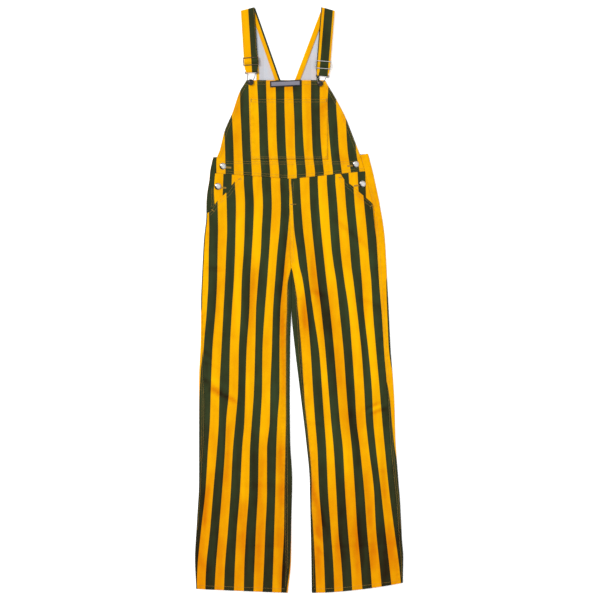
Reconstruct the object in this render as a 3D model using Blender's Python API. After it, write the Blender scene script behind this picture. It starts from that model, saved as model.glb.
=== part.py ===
"""Bib overalls in striped twill, laid flat with the front up.

Units are metres and +Z is up. X runs across the garment towards the wearer's left, Y runs up it
towards the straps, and the cloth rests on Z = 0. The charts are in millimetres: "up" is a height
above the lowest point of the hems, "x" a distance from the middle of the garment's width.

Each half of the back is one length from hem to strap. It wraps a little way on to the front at the
side seam and at the inseam, so its section is a flat C. The trouser fronts, the pocket bearers and
the bib lie on it between those wraps, and the straps fold over from its two tips to the bib.
"""
import math
from typing import Callable, NamedTuple, Sequence

import bmesh
import bpy
from mathutils import Vector

MM = 0.001

# Driving sizes, in millimetres
LENGTH = 1440.0            # strap fold to the lowest point of the hems
CLOTH = 1.2                # wall of one layer of cloth
SEAM = 0.3                 # clearance between pieces that lie on each other
ABUT = 0.5                 # clearance between edges that meet at a seam
FLAT = 3.2                 # thickness of the laid leg at its rolled edges
LAYER = CLOTH + SEAM       # what one more layer adds
ROLL = FLAT / 2            # outer radius of the rolled edges
ROLL_STEPS = 4             # flats in each rolled edge
ROW_STEP = 44.0            # widest spacing of the rows of a panel


class Edge(NamedTuple):
    """A point of a panel's edge: its height and its place across."""
    up: float
    x: float


class Side(NamedTuple):
    """The back's outer edge: where it is and how far it wraps on to the front."""
    up: float
    x: float
    wrap: float


class Fold(NamedTuple):
    """A soft ridge of cloth: its middle, direction, half length, half width and height."""
    x: float
    up: float
    angle: float
    length: float
    width: float
    rise: float


# --- Size charts ----------------------------------------------------------------------------

BACK_SIDE_RIGHT = (
    Side(0, -253, 2.5), Side(80, -256, 2.2), Side(179, -251, 4.9), Side(277, -246, 6.2),
    Side(375, -246, 12.3), Side(474, -246, 14.0), Side(523, -246, 11.1), Side(621, -242, 5.4),
    Side(720, -241, 3.0), Side(791, -238, 2.4), Side(867, -234, 2.4), Side(931, -228, 2.4),
    Side(939, -228, 9.8), Side(953, -228, 20.2), Side(973, -227, 18.2), Side(990, -225, 15.5),
    Side(1014, -221, 13.0), Side(1035, -219, 13.5), Side(1064, -213, 9.8), Side(1071, -211, 8.4))
BACK_SIDE_LEFT = (
    Side(0, 255, 3.7), Side(80, 256, 6.9), Side(129, 253, 8.1), Side(228, 248, 9.8),
    Side(277, 244, 11.3), Side(375, 237, 13.8), Side(474, 234, 15.7), Side(523, 231, 16.0),
    Side(597, 225, 16.2), Side(678, 221, 17.2), Side(757, 217, 19.7), Side(867, 211, 20.7),
    Side(917, 205, 19.6), Side(944, 200, 16.0), Side(960, 197.5, 17.0), Side(990, 191, 18.4),
    Side(1036, 181, 18.9), Side(1064, 173, 18.7), Side(1076, 169, 18.4))

BACK_INSEAM_RIGHT = (
    Side(0, -28, 3.2), Side(80, -20, 9.8), Side(179, -19, 12.1), Side(277, -17, 13.8),
    Side(375, -22, 9.8), Side(474, -23, 8.9), Side(621, -22, 9.8), Side(678, -19.6, 10.6),
    Side(720, -19.1, 10.4), Side(757, -19.1, 9.4), Side(791, -19.1, 2.6))
BACK_INSEAM_LEFT = (
    Side(0, 31, 3.0), Side(80, 30, 3.0), Side(228, 27, 3.7), Side(277, 26, 4.7),
    Side(375, 17, 6.2), Side(474, 5, 7.9), Side(523, -1, 8.9), Side(597, -10, 11.3),
    Side(678, -18.2, 15.6), Side(720, -18.6, 13.8), Side(757, -18.6, 8.4), Side(791, -18.6, 2.6))

ARMHOLE_RIGHT = (
    Edge(1072.5, -192), Edge(1094, -175), Edge(1126, -155), Edge(1168, -133), Edge(1207, -116),
    Edge(1236, -107), Edge(1266, -105), Edge(1305, -107), Edge(1354, -115), Edge(1396, -129),
    Edge(1424, -140))
ARMHOLE_LEFT = (
    Edge(1077.5, 150), Edge(1099, 131), Edge(1131, 107), Edge(1170, 83), Edge(1207, 64),
    Edge(1236, 54), Edge(1266, 50), Edge(1305, 53), Edge(1354, 60), Edge(1396, 74),
    Edge(1424, 84))

CROTCH = 791.0             # height of the crotch point
CLOSED = 799.0             # above this the two fronts meet edge to edge
BACK_SEAM = (Edge(791, -18.85), Edge(931, -22), Edge(1080, -26), Edge(1209, -29))
FRONT_SEAM = (Edge(799, -19.3), Edge(843, -22), Edge(894, -22), Edge(961, -24), Edge(1018, -21.5))

NECK_POINT = Edge(1212, -29)          # bottom of the V, where the two edges meet
NECK_TOP_RIGHT = Edge(1438, -108)
NECK_TOP_LEFT = Edge(1438, 56)
BINDING_WIDTH = 13.5                  # measured across the garment
BINDING_TOP = 1426.0

SCOOP_RIGHT = (
    Edge(933, -225.3), Edge(940, -217), Edge(963, -200), Edge(983, -177), Edge(1007, -159),
    Edge(1024, -145))
SCOOP_LEFT = (
    Edge(944, 183.7), Edge(954, 181), Edge(969, 164), Edge(984, 145), Edge(994, 134),
    Edge(1012, 112), Edge(1028, 102))
POCKET_LAP = 14.0          # the front's pocket edge lies on its bearer this far in
POCKET_SLOPE = 26.0        # and comes down on the back over this much more

WAIST = (Edge(1031.5, -210), Edge(1017.6, -21.5), Edge(1036.5, 164))

BIB_TOP = 1260.0
BIB_SIDE_RIGHT = (
    Edge(1071, -202.1), Edge(1089, -195), Edge(1133, -184), Edge(1180, -164),
    Edge(1232, -146), Edge(1252, -134), Edge(1260, -129))
BIB_SIDE_LEFT = (
    Edge(1076, 150.1), Edge(1089, 145), Edge(1133, 128), Edge(1171, 113),
    Edge(1215, 90), Edge(1252, 68), Edge(1260, 64))
BIB_LIFT = 1.3             # the bib's top rides over the neck bindings by this much
BIB_LIFT_FULL = 1205.0     # it does so above this height
BIB_LIFT_NONE = 1140.0     # and lies on the back below this one

POCKET_BOTTOM = 1065.0
POCKET_TOP = 1216.0
POCKET_EDGE_RIGHT = (Edge(1018, -113), Edge(1066, -118), Edge(1216, -122), Edge(1260, -116))
POCKET_EDGE_LEFT = (Edge(1018, 70), Edge(1066, 71), Edge(1216, 71), Edge(1260, 52))

LABEL_CENTRE = Vector((-33.5, 1251.5))
LABEL_SIZE = Vector((76.0, 15.5))
LABEL_TURN = math.radians(2.5)
LABEL_WALL = 1.0

FOLDS = (
    Fold(-195, 757, 62, 48, 18, 1.6), Fold(-128, 770, 78, 46, 16, 1.2),
    Fold(-165, 449, 80, 60, 18, 1.8), Fold(-72, 375, 84, 70, 18, 1.4),
    Fold(-120, 230, 88, 150, 30, 1.6), Fold(-150, 620, 96, 120, 26, 1.4),
    Fold(189, 459, 112, 50, 17, 1.8), Fold(196, 297, 100, 52, 16, 1.4),
    Fold(60, 640, 98, 130, 26, 1.6), Fold(110, 430, 94, 120, 28, 1.5),
    Fold(130, 180, 90, 130, 30, 1.6), Fold(-70, 850, 52, 60, 16, 1.5),
    Fold(45, 850, 128, 60, 16, 1.5), Fold(110, 880, 100, 70, 20, 1.3),
    Fold(-30, 1135, 90, 50, 45, 1.2), Fold(100, 1120, 112, 36, 14, 1.2),
    Fold(-160, 1120, 70, 36, 14, 1.2))
FOLD_FADE = 22.0           # folds die away this far from a panel's edge

STRAP_WIDTH = 34.0
STRAP_LOWER_WIDTH = 31.5   # drawn in below the slider
STRAP_LOOP_WIDTH = 27.0    # and more where it turns round the hook
STRAP_WALL = 1.6
STRAP_TAIL = 9.0           # how far below the fold the strap is sewn to the back
STRAP_SKEW_FADE = 60.0     # the strap is square again this far below its slanted fold


class Strap(NamedTuple):
    """One strap in plan: its fold, its loop at the hook, and what is on it."""
    fold: Vector           # middle of the fold over the shoulder
    loop: Vector           # middle of the loop's lowest edge
    skew: float            # slant of the fold, rise over run, against square
    slider: float          # distance of the slider's middle bar below the fold
    button: Vector         # middle of the bib button


STRAPS = {
    "right": Strap(Vector((-126.5, 1435.6)), Vector((-116.8, 1278.5)), 0.19, 129.5,
                   Vector((-118.8, 1254.5))),
    "left": Strap(Vector((71.0, 1435.6)), Vector((57.6, 1270.0)), -0.19, 138.5,
                  Vector((51.4, 1251.5))),
}

WIRE = 1.0                 # radius of the hook's wire
HOOK_SHOULDER = 4.7        # from the hook's bar to its shoulders, along the strap's lower edge
HOOK_NECK = 8.8            # half the distance between its two wires below the shoulders
SLIDER_BAR = 1.8
SLIDER_WALL = 1.4
SLIDER_PITCH = 9.0         # from the slider's middle bar to each of its outer ones
BUTTON_SHANK = 2.2
HOOK_EYE = BUTTON_SHANK + 2 * WIRE + 0.7          # outer radius of the hook's eye
BIB_BUTTON = 8.4           # radius
SIDE_BUTTON = 8.2          # radius
SIDE_BUTTONS = {
    "upper_right": Vector((-187.5, 1048.5)), "lower_right": Vector((-199.8, 999.0)),
    "upper_left": Vector((138.8, 1053.3)), "lower_left": Vector((156.9, 1006.8)),
}

GOLD = (1.0, 0.45, 0.0)
GREEN = (0.040, 0.055, 0.026)
BRIGHT_METAL = (0.75, 0.75, 0.74)
DARK_METAL = (0.03, 0.026, 0.024)
LABEL_GREY = (0.35, 0.35, 0.42)


# --- Helpers --------------------------------------------------------------------------------

def clear_scene() -> None:
    """Remove every object of the start-up scene."""
    for item in list(bpy.data.objects):
        bpy.data.objects.remove(item, do_unlink=True)


def place(x: float, up: float, z: float) -> Vector:
    """A chart point, in millimetres, as a point of the scene."""
    return Vector((x, up - LENGTH / 2, z)) * MM


def smoothstep(low: float, high: float, value: float) -> float:
    """0 below low, 1 above high and a soft slope between; low may be the larger."""
    t = min(1.0, max(0.0, (value - low) / (high - low)))
    return t * t * (3 - 2 * t)


def along(chart: Sequence, up: float, column: int = 1) -> float:
    """Read a chart's column at a height, on straight lines between its rows."""
    if up <= chart[0][0]:
        return chart[0][column]
    for low, high in zip(chart, chart[1:]):
        if up <= high[0]:
            t = (up - low[0]) / (high[0] - low[0])
            return low[column] + (high[column] - low[column]) * t
    return chart[-1][column]


def waist_at(x: float) -> float:
    """Height of the waist seam at a place across the garment."""
    return along([(edge.x, edge.up) for edge in WAIST], x)


def heights(stops: Sequence[float], step: float = ROW_STEP) -> list[float]:
    """The stops, with evenly spaced heights between any two further apart than step."""
    rows = [stops[0]]
    for low, high in zip(stops, stops[1:]):
        count = max(1, math.ceil((high - low) / step))
        rows += [low + (high - low) * i / count for i in range(1, count + 1)]
    return rows


LEG_ROWS = heights([0, 40, 130, 277, 474, 523, 621, 678, 720, 757, CROTCH])


def lift(x: float, up: float) -> float:
    """How far the soft ridges raise the top layers at a point."""
    total = 0.0
    for fold in FOLDS:
        turn = math.radians(fold.angle)
        dx, dy = x - fold.x, up - fold.up
        run = (dx * math.cos(turn) + dy * math.sin(turn)) / fold.length
        across = (dy * math.cos(turn) - dx * math.sin(turn)) / fold.width
        total += fold.rise * math.exp(-run * run - across * across)
    return total


def hem_rise(side: str, x: float, up: float) -> float:
    """How much higher than level a row runs near the hem, which climbs to the side seam."""
    rise, power, inner, outer = {"right": (9.5, 1.0, -28, -253), "left": (24.5, 1.7, 31, 255)}[side]
    share = min(1.0, max(0.0, (x - inner) / (outer - inner)))
    return rise * share ** power * max(0.0, 1 - up / 130)


def material(name: str, colour: tuple, roughness: float, metallic: float = 0.0):
    """A plain Principled material."""
    result = bpy.data.materials.new(name)
    result.use_nodes = True
    shader = result.node_tree.nodes["Principled BSDF"]
    shader.inputs["Base Color"].default_value = (*colour, 1.0)
    shader.inputs["Roughness"].default_value = roughness
    shader.inputs["Metallic"].default_value = metallic
    result.diffuse_color = (*colour, 1.0)
    return result


def add_object(name: str, work: bmesh.types.BMesh, finish) -> bpy.types.Object:
    """Turn a bmesh into a named, smooth-shaded object with its material."""
    mesh = bpy.data.meshes.new(name)
    work.to_mesh(mesh)
    work.free()
    mesh.materials.append(finish)
    mesh.shade_smooth()
    mesh.set_sharp_from_angle(angle=math.radians(40))
    item = bpy.data.objects.new(name, mesh)
    bpy.context.scene.collection.objects.link(item)
    return item


def sheet(name: str, rows: Sequence[Sequence[Vector]], finish, wall: float,
          keep: Callable[[int, int], bool] = lambda row, column: True) -> bpy.types.Object:
    """A cloth wall: a grid of points on its outer face, thickened inwards.

    Seen from outside, the columns of the grid run to the right where its rows run upwards. keep
    leaves out the cells where the piece has no cloth.
    """
    work = bmesh.new()
    grid = [[work.verts.new(point) for point in row] for row in rows]
    for r in range(len(rows) - 1):
        for c in range(len(rows[0]) - 1):
            if keep(r, c):
                work.faces.new((grid[r][c], grid[r][c + 1], grid[r + 1][c + 1], grid[r + 1][c]))
    loose = [vert for vert in work.verts if not vert.link_faces]
    bmesh.ops.delete(work, geom=loose, context='VERTS')
    item = add_object(name, work, finish)
    solid = item.modifiers.new("Cloth", 'SOLIDIFY')
    solid.thickness = wall * MM
    solid.offset = -1.0
    solid.use_even_offset = True
    return item


def turned(name: str, profile: Sequence[tuple], centre: Vector, finish, steps: int = 16):
    """A solid of revolution about a vertical axis; the profile is (radius, height) pairs."""
    work = bmesh.new()
    ring = [work.verts.new(place(centre.x + radius, centre.y, z)) for radius, z in profile]
    edges = [work.edges.new(pair) for pair in zip(ring, ring[1:])]
    bmesh.ops.spin(work, geom=ring + edges, cent=place(centre.x, centre.y, 0), axis=(0, 0, 1),
                   angle=math.tau, steps=steps, use_merge=True)
    bmesh.ops.remove_doubles(work, verts=work.verts, dist=0.00001)
    bmesh.ops.recalc_face_normals(work, faces=work.faces)
    return add_object(name, work, finish)


# --- The back -------------------------------------------------------------------------------

class BackHalf:
    """One half of the back: a flat C in section below, a single layer at its tip."""

    def __init__(self, side: str):
        self.side = side
        self.sign = 1 if side == "left" else -1
        left = side == "left"
        self.outer = BACK_SIDE_LEFT if left else BACK_SIDE_RIGHT
        self.inseam = BACK_INSEAM_LEFT if left else BACK_INSEAM_RIGHT
        self.armhole = ARMHOLE_LEFT if left else ARMHOLE_RIGHT
        self.neck_top = NECK_TOP_LEFT if left else NECK_TOP_RIGHT
        self.opening = self.outer[-1].up        # top of the buttoned side opening
        self.tip_slope = STRAPS[side].skew

    def neck(self, up: float) -> float:
        """Place across of the finished V edge at a height above its bottom."""
        return along((NECK_POINT, self.neck_top), up)

    def side_seam(self, up: float) -> float:
        """Place across of the back's edge on the front of the garment."""
        return along(self.outer, up) - self.sign * along(self.outer, up, 2)

    def inner_seam(self, up: float) -> float:
        """Place across of the inseam on the front of the garment."""
        return along(self.inseam, up) + self.sign * along(self.inseam, up, 2)

    def inner_edge(self, up: float) -> float:
        """Inner edge of the flat back above the crotch: the centre seam, then the V."""
        seam = along(BACK_SEAM, up) + self.sign * ABUT / 2
        if up <= NECK_POINT.up:
            return seam
        return self.neck(up) + self.sign * (LAYER + SEAM)

    def tip_rise(self, x: float, up: float) -> float:
        """How much higher than level a row runs near the tip, which is square to the strap."""
        share = smoothstep(self.armhole[-2].up, self.armhole[-1].up, up)
        return share * self.tip_slope * (x - STRAPS[self.side].fold.x)

    def rolled(self, edge: float, wrap: float, direction: int) -> list[tuple]:
        """Points (x, z) from a wrap's free edge round the rolled edge to the underside."""
        turn = edge - direction * ROLL
        points = [(edge - direction * wrap, FLAT), (turn - direction * 0.3, FLAT)]
        for i in range(1, ROLL_STEPS + 1):
            angle = math.pi / 2 - math.pi * i / ROLL_STEPS
            points.append((turn + direction * ROLL * math.cos(angle),
                           ROLL + ROLL * math.sin(angle)))
        return points

    def row(self, up: float, columns: int = 8) -> list[Vector]:
        """The outside of the cloth at one height, from the side wrap to the inner one."""
        below_opening = up <= self.opening
        outer = along(self.outer if below_opening else self.armhole, up)
        wrap = along(self.outer, up, 2) if below_opening else 2 * ROLL
        start = self.rolled(outer, wrap, self.sign)
        if up <= CROTCH:
            inner = along(self.inseam, up)
            end = self.rolled(inner, along(self.inseam, up, 2), -self.sign)[::-1]
        else:
            inner = self.inner_edge(up + self.tip_rise(self.inner_edge(up), up))
            end = self.rolled(inner - self.sign * ROLL, 2 * ROLL, -self.sign)[::-1]
        if not below_opening:
            start[-1] = (outer, 0.0)
        low, high = start[-1][0], end[0][0]
        flat = [(low + (high - low) * i / columns, 0.0) for i in range(1, columns)]
        points = []
        for x, z in start + flat + end:
            rise = hem_rise(self.side, x, up) + self.tip_rise(x, up)
            points.append(place(x, up + rise, z))
        return points if self.sign > 0 else points[::-1]

    def build(self, finish) -> bpy.types.Object:
        """Make the half as one wall from hem to strap."""
        seat = heights([CLOSED] + [up for up, *_ in self.outer if up > CLOSED])
        levels = LEG_ROWS + [CROTCH + 3] + seat + [edge.up for edge in self.armhole]
        rows = [self.row(up) for up in levels]
        count = len(rows[0])
        curl = ROLL_STEPS + 1                     # cells of one wrap and its rolled edge

        def keep(r: int, c: int) -> bool:
            from_side = c if self.sign > 0 else count - 2 - c
            if from_side < curl:
                return levels[r + 1] <= self.opening
            if from_side >= count - 1 - curl:
                return levels[r + 1] <= CROTCH
            return True

        return sheet(f"back_{self.side}", rows, finish, CLOTH, keep)


# --- Trouser fronts and pocket bearers ------------------------------------------------------

def faded(x: float, up: float, low_x: float, high_x: float) -> float:
    """The lift of the soft ridges, dying away towards a panel's two edges."""
    margin = min(x - low_x, high_x - x)
    return lift(x, up) * smoothstep(0, FOLD_FADE, margin)


class Front:
    """One trouser front, from hem to waist seam, with its scooped pocket edge."""

    def __init__(self, back: BackHalf):
        self.back = back
        self.side, self.sign = back.side, back.sign
        self.scoop = SCOOP_LEFT if self.side == "left" else SCOOP_RIGHT

    def outer(self, up: float) -> float:
        """Outer edge: the side seam, then the scoop of the pocket."""
        if up >= self.scoop[0].up:
            return along(self.scoop, up)
        return self.back.side_seam(up) - self.sign * ABUT

    def inner(self, up: float) -> float:
        """Inner edge: the inseam, then the centre front seam."""
        if up <= CROTCH:
            return self.back.inner_seam(up) + self.sign * ABUT
        seam = along(FRONT_SEAM, up) + self.sign * ABUT / 2
        blend = smoothstep(CROTCH, CLOSED, up)
        return self.inner(CROTCH) * (1 - blend) + seam * blend

    def top(self, x: float, up: float, outer: float, inner: float) -> float:
        """Height of the cloth's upper face."""
        z = FLAT + faded(x, up, min(outer, inner), max(outer, inner))
        reach = abs(x - outer)
        on_bearer = smoothstep(self.scoop[0].up - 70, self.scoop[0].up - 4, up)
        return z + LAYER * on_bearer * smoothstep(POCKET_LAP + POCKET_SLOPE, POCKET_LAP, reach)

    def row(self, up: float, columns: int = 6) -> list[Vector]:
        """One row across the panel; the topmost follows the waist seam."""
        outer, inner = self.outer(up), self.inner(up)
        first = [outer, outer - self.sign * POCKET_LAP,
                 outer - self.sign * (POCKET_LAP + POCKET_SLOPE)]
        across = first + [first[-1] + (inner - first[-1]) * i / columns
                          for i in range(1, columns + 1)]
        top_level = self.scoop[-1].up
        near_waist = smoothstep(top_level - 90, top_level, up)
        points = []
        for x in across:
            rise = hem_rise(self.side, x, up)
            rise += near_waist * (waist_at(x) - ABUT / 2 - top_level)
            points.append(place(x, up + rise, self.top(x, up, outer, inner)))
        return points[::-1] if self.sign > 0 else points

    def build(self, finish) -> bpy.types.Object:
        """Make the panel, with rows at every point of the scoop."""
        seat = [up for up, *_ in self.back.outer if CLOSED < up < self.scoop[0].up]
        levels = LEG_ROWS + heights([CLOSED] + seat + [edge.up for edge in self.scoop])
        return sheet(f"front_{self.side}", [self.row(up) for up in levels], finish, CLOTH)


class Bearer:
    """The under-piece of a hip pocket, from the scoop to the buttoned side opening."""
    UNDERLAP = 10.0        # hidden below the front's pocket edge
    FEET = {"right": (957, 946), "left": (951, 951)}    # lower end, at the side and inwards

    def __init__(self, front: Front):
        self.front = front
        self.side, self.sign = front.side, front.sign

    def row(self, share: float, columns: int = 4) -> list[Vector]:
        """One row across, from the side opening inwards; share runs from foot to waist."""
        scoop = self.front.scoop
        outer_foot, inner_foot = self.FEET[self.side]
        lap = self.sign * self.UNDERLAP
        inner_up = inner_foot + (waist_at(scoop[-1].x - lap) - ABUT / 2 - inner_foot) * share
        outer_up = outer_foot + (waist_at(self.sign * 180) - ABUT - outer_foot) * share
        outer = self.front.back.side_seam(outer_up) - self.sign * ABUT
        inner = along(scoop, inner_up) - lap
        points = [place(outer + (inner - outer) * i / columns,
                        outer_up + (inner_up - outer_up) * i / columns, FLAT)
                  for i in range(columns + 1)]
        return points[::-1] if self.sign > 0 else points

    def build(self, finish) -> bpy.types.Object:
        """Make the bearer in eight even rows."""
        rows = [self.row(i / 8) for i in range(9)]
        return sheet(f"pocket_bearer_{self.side}", rows, finish, CLOTH)


# --- Bib, its pocket and label --------------------------------------------------------------

def bib_top_face(x: float, up: float) -> float:
    """Height of the bib's upper face."""
    low, high = along(BIB_SIDE_RIGHT, up), along(BIB_SIDE_LEFT, up)
    over_bindings = BIB_LIFT * smoothstep(BIB_LIFT_NONE, BIB_LIFT_FULL, up)
    return FLAT + over_bindings + faded(x, up, low, high)


class Bib:
    """The bib and the patch pocket that lies on it, drawn on one grid."""
    MARGIN_COLUMNS = 2
    POCKET_COLUMNS = 6

    def __init__(self, left: BackHalf, right: BackHalf):
        self.halves = {"left": left, "right": right}
        self.levels = heights([WAIST[1].up, 1040, POCKET_BOTTOM, 1076, POCKET_TOP, 1236,
                               BIB_TOP], 25)

    def edge(self, side: str, up: float) -> float:
        """Place across of one side edge: along the side opening, then the bib's own line."""
        half = self.halves[side]
        up += self.rise(half.sign * 205, up)
        if up <= half.opening:
            return half.side_seam(up) - half.sign * ABUT
        return along(BIB_SIDE_LEFT if side == "left" else BIB_SIDE_RIGHT, up)

    def rise(self, x: float, up: float) -> float:
        """How much higher than level a row runs near the waist seam, which is slanted."""
        near_waist = smoothstep(POCKET_BOTTOM, self.levels[0], up)
        return near_waist * (waist_at(x) + ABUT / 2 - self.levels[0])

    def columns(self, up: float) -> list[float]:
        """Places across at a height: a margin, the pocket, and a margin."""
        stops = [self.edge("right", up), along(POCKET_EDGE_RIGHT, up),
                 along(POCKET_EDGE_LEFT, up), self.edge("left", up)]
        counts = (self.MARGIN_COLUMNS, self.POCKET_COLUMNS, self.MARGIN_COLUMNS)
        result = [stops[0]]
        for low, high, count in zip(stops, stops[1:], counts):
            result += [low + (high - low) * i / count for i in range(1, count + 1)]
        return result

    def row(self, up: float) -> list[Vector]:
        """One row of the bib; the lowest follows the waist seam."""
        return [place(x, up + self.rise(x, up), bib_top_face(x, up)) for x in self.columns(up)]

    def build(self, finish) -> bpy.types.Object:
        """Make the bib itself."""
        return sheet("bib", [self.row(up) for up in self.levels], finish, CLOTH)

    def build_pocket(self, finish) -> bpy.types.Object:
        """Make the pocket from the bib's own points, moved out by one layer."""
        first = self.MARGIN_COLUMNS
        last = first + self.POCKET_COLUMNS
        out = Vector((0, 0, LAYER * MM))
        rows = [[point + out for point in self.row(up)[first:last + 1]]
                for up in self.levels if POCKET_BOTTOM <= up <= POCKET_TOP]
        return sheet("bib_pocket", rows, finish, CLOTH)


def build_label(finish) -> bpy.types.Object:
    """The bare woven patch at the middle of the bib's top edge."""
    turn, half = LABEL_TURN, LABEL_SIZE / 2
    rows = []
    for v in (-1, 0, 1):
        row = []
        for u in (-1, -0.5, 0, 0.5, 1):
            dx, dy = u * half.x, v * half.y
            x = LABEL_CENTRE.x + dx * math.cos(turn) - dy * math.sin(turn)
            up = LABEL_CENTRE.y + dx * math.sin(turn) + dy * math.cos(turn)
            row.append(place(x, up, bib_top_face(x, up) + LABEL_WALL + SEAM))
        rows.append(row)
    return sheet("label", rows, finish, LABEL_WALL)


def build_binding(back: BackHalf, finish) -> bpy.types.Object:
    """The band that covers one raw edge of the back's V."""
    top = CLOTH + LAYER
    round_off = CLOTH + 0.2
    rows = []
    for up in heights([NECK_POINT.up + 3, BINDING_TOP], 55):
        edge = back.neck(up) + back.sign * SEAM / 2
        section = [(edge + back.sign * BINDING_WIDTH * (1 - i / 2), top) for i in range(2)]
        for i in range(4):
            angle = math.pi / 2 * (1 - i / 3)
            section.append((edge + back.sign * round_off * (1 - math.cos(angle)),
                            top - round_off + round_off * math.sin(angle)))
        section.append((edge, 0.0))
        points = [place(x, up, z) for x, z in section]
        rows.append(points[::-1] if back.sign > 0 else points)
    return sheet(f"neck_binding_{back.side}", rows, finish, CLOTH)


# --- Straps and their metal -----------------------------------------------------------------

class Suspender:
    """One strap with its slider, wire hook and bib button."""
    TAIL_Z = CLOTH + SEAM + STRAP_WALL / 2                  # the returning end, above the back
    RUN_Z = TAIL_Z + STRAP_WALL + SEAM                      # the front run, above that end
    SLIDER_Z = RUN_Z + STRAP_WALL / 2 + SEAM + SLIDER_WALL / 2
    HUMP_Z = SLIDER_Z + SLIDER_WALL / 2 + SEAM + STRAP_WALL / 2
    LOOP = WIRE + SEAM + STRAP_WALL / 2                     # radius of the turn round the hook
    FOLD = 1.55                                             # radius of the turn at the shoulder
    BAR_Z = TAIL_Z + LOOP
    EYE_Z = FLAT + BIB_LIFT + SEAM + WIRE

    def __init__(self, side: str):
        self.side = side
        self.plan = STRAPS[side]
        run = self.plan.loop - self.plan.fold
        self.length = run.length
        self.down = run.normalized()
        self.across = Vector((-self.down.y, self.down.x))

    def at(self, s: float, w: float, z: float) -> Vector:
        """A point s down the strap from its fold and w across it."""
        slant = self.plan.skew * w * smoothstep(STRAP_SKEW_FADE, 0, s)
        spot = self.plan.fold + self.down * (s - slant) + self.across * w
        return place(spot.x, spot.y, z)

    def path(self) -> list[tuple]:
        """Middle line of the strap, (s, z), from the back over the shoulder to its tail."""
        def turn(s: float, z: float, radius: float, start: int, steps: int = 6) -> list[tuple]:
            angles = [math.radians(start) - math.pi * i / steps for i in range(steps + 1)]
            return [(s + radius * math.cos(a), z + radius * math.sin(a)) for a in angles]

        low = STRAP_WALL / 2
        upper = low + 2 * self.FOLD
        fold = turn(low + self.FOLD, low + self.FOLD, self.FOLD, 270)
        slider, bar = self.plan.slider, SLIDER_PITCH
        loop_s = self.length - self.LOOP - low
        loop = turn(loop_s, self.BAR_Z, self.LOOP, 90)
        return [(STRAP_TAIL, low), *fold, (40, upper), (80, upper),
                (slider - bar - 3, upper), (slider - bar + 1.8, upper),
                (slider - 1.8, self.HUMP_Z), (slider + 1.8, self.HUMP_Z),
                (slider + bar - 1.8, self.RUN_Z), (slider + bar + 2, self.RUN_Z),
                (self.length - 9, self.RUN_Z + 0.5), (self.length - 6, self.RUN_Z + 1.4),
                *loop, (self.length - 6, self.TAIL_Z), (self.length - 9, self.TAIL_Z),
                (slider + 3, self.TAIL_Z)]

    def half_width(self, s: float) -> float:
        """Half the strap's width, which narrows to the hook."""
        below = smoothstep(self.plan.slider + SLIDER_PITCH, self.length - 9, s)
        turn = smoothstep(self.length - 9, self.length - 4, s)
        return (STRAP_WIDTH + (STRAP_LOWER_WIDTH - STRAP_WIDTH) * below
                + (STRAP_LOOP_WIDTH - STRAP_LOWER_WIDTH) * turn) / 2

    def build_strap(self, finish) -> bpy.types.Object:
        """The webbing: the path's outer face, thickened inwards."""
        path = [Vector(point) for point in self.path()]
        rows = []
        for i, point in enumerate(path):
            before, after = path[max(i - 1, 0)], path[min(i + 1, len(path) - 1)]
            one = (point - before).normalized() if i else (after - point).normalized()
            two = (after - point).normalized() if i < len(path) - 1 else one
            bisector = (one + two).normalized()
            outward = Vector((bisector.y, -bisector.x))
            reach = STRAP_WALL / 2 / max(0.5, bisector.dot(one))
            s, z = point - outward * reach
            half = self.half_width(s)
            rows.append([self.at(s, w * half, z) for w in (1, 0.33, -0.33, -1)])
        return sheet(f"strap_{self.side}", rows, finish, STRAP_WALL)

    def build_slider(self, finish) -> bpy.types.Object:
        """A flat metal frame with a middle bar: the strap weaves through its two slots."""
        inside = STRAP_WIDTH / 2 + 0.4
        half = SLIDER_BAR / 2
        stops_w = (inside + SLIDER_BAR, inside, -inside, -inside - SLIDER_BAR)
        stops_s = [self.plan.slider + offset + edge for offset in (-SLIDER_PITCH, 0, SLIDER_PITCH)
                   for edge in (-half, half)]
        z = self.SLIDER_Z + SLIDER_WALL / 2
        rows = [[self.at(s, w, z) for w in stops_w] for s in stops_s]
        item = sheet(f"slider_{self.side}", rows, finish, SLIDER_WALL,
                     keep=lambda r, c: c != 1 or r % 2 == 0)
        bevel = item.modifiers.new("Edges", 'BEVEL')
        bevel.width = 0.4 * MM
        bevel.segments = 1
        return item

    def hook_points(self) -> list[tuple]:
        """The wire's middle line: (s down from its bar, w across) round the whole loop."""
        reach, low = self.hook_reach(), HOOK_SHOULDER
        half = STRAP_LOOP_WIDTH / 2 + 3 * SEAM + WIRE
        eye = HOOK_EYE - WIRE
        corner = [(1.4, 0), (0.7, 0.19), (0.19, 0.7), (0, 1.4)]
        side = [(s, half - w) for w, s in corner]
        side += [(low - s, half - w) for w, s in reversed(corner)]
        side += [(low, HOOK_NECK + 1.6), (low + 0.5, HOOK_NECK + 0.5), (low + 1.6, HOOK_NECK),
                 (reach * 0.5, HOOK_NECK + 0.5), (reach * 0.65, HOOK_NECK - 0.4),
                 (reach * 0.78, 6.6), (reach - eye, eye + 0.9)]
        bottom = [(reach + eye * math.sin(a), eye * math.cos(a))
                  for a in (math.radians(d) for d in range(0, 181, 30))]
        return side + bottom + [(s, -w) for s, w in reversed(side)]

    def bar(self) -> Vector:
        """Middle of the hook's bar, inside the strap's loop."""
        return self.plan.fold + self.down * (self.length - self.LOOP - STRAP_WALL / 2)

    def hook_reach(self) -> float:
        """Distance down the strap from the hook's bar to the middle of the button."""
        return (self.plan.button - self.bar()).dot(self.down)

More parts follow.
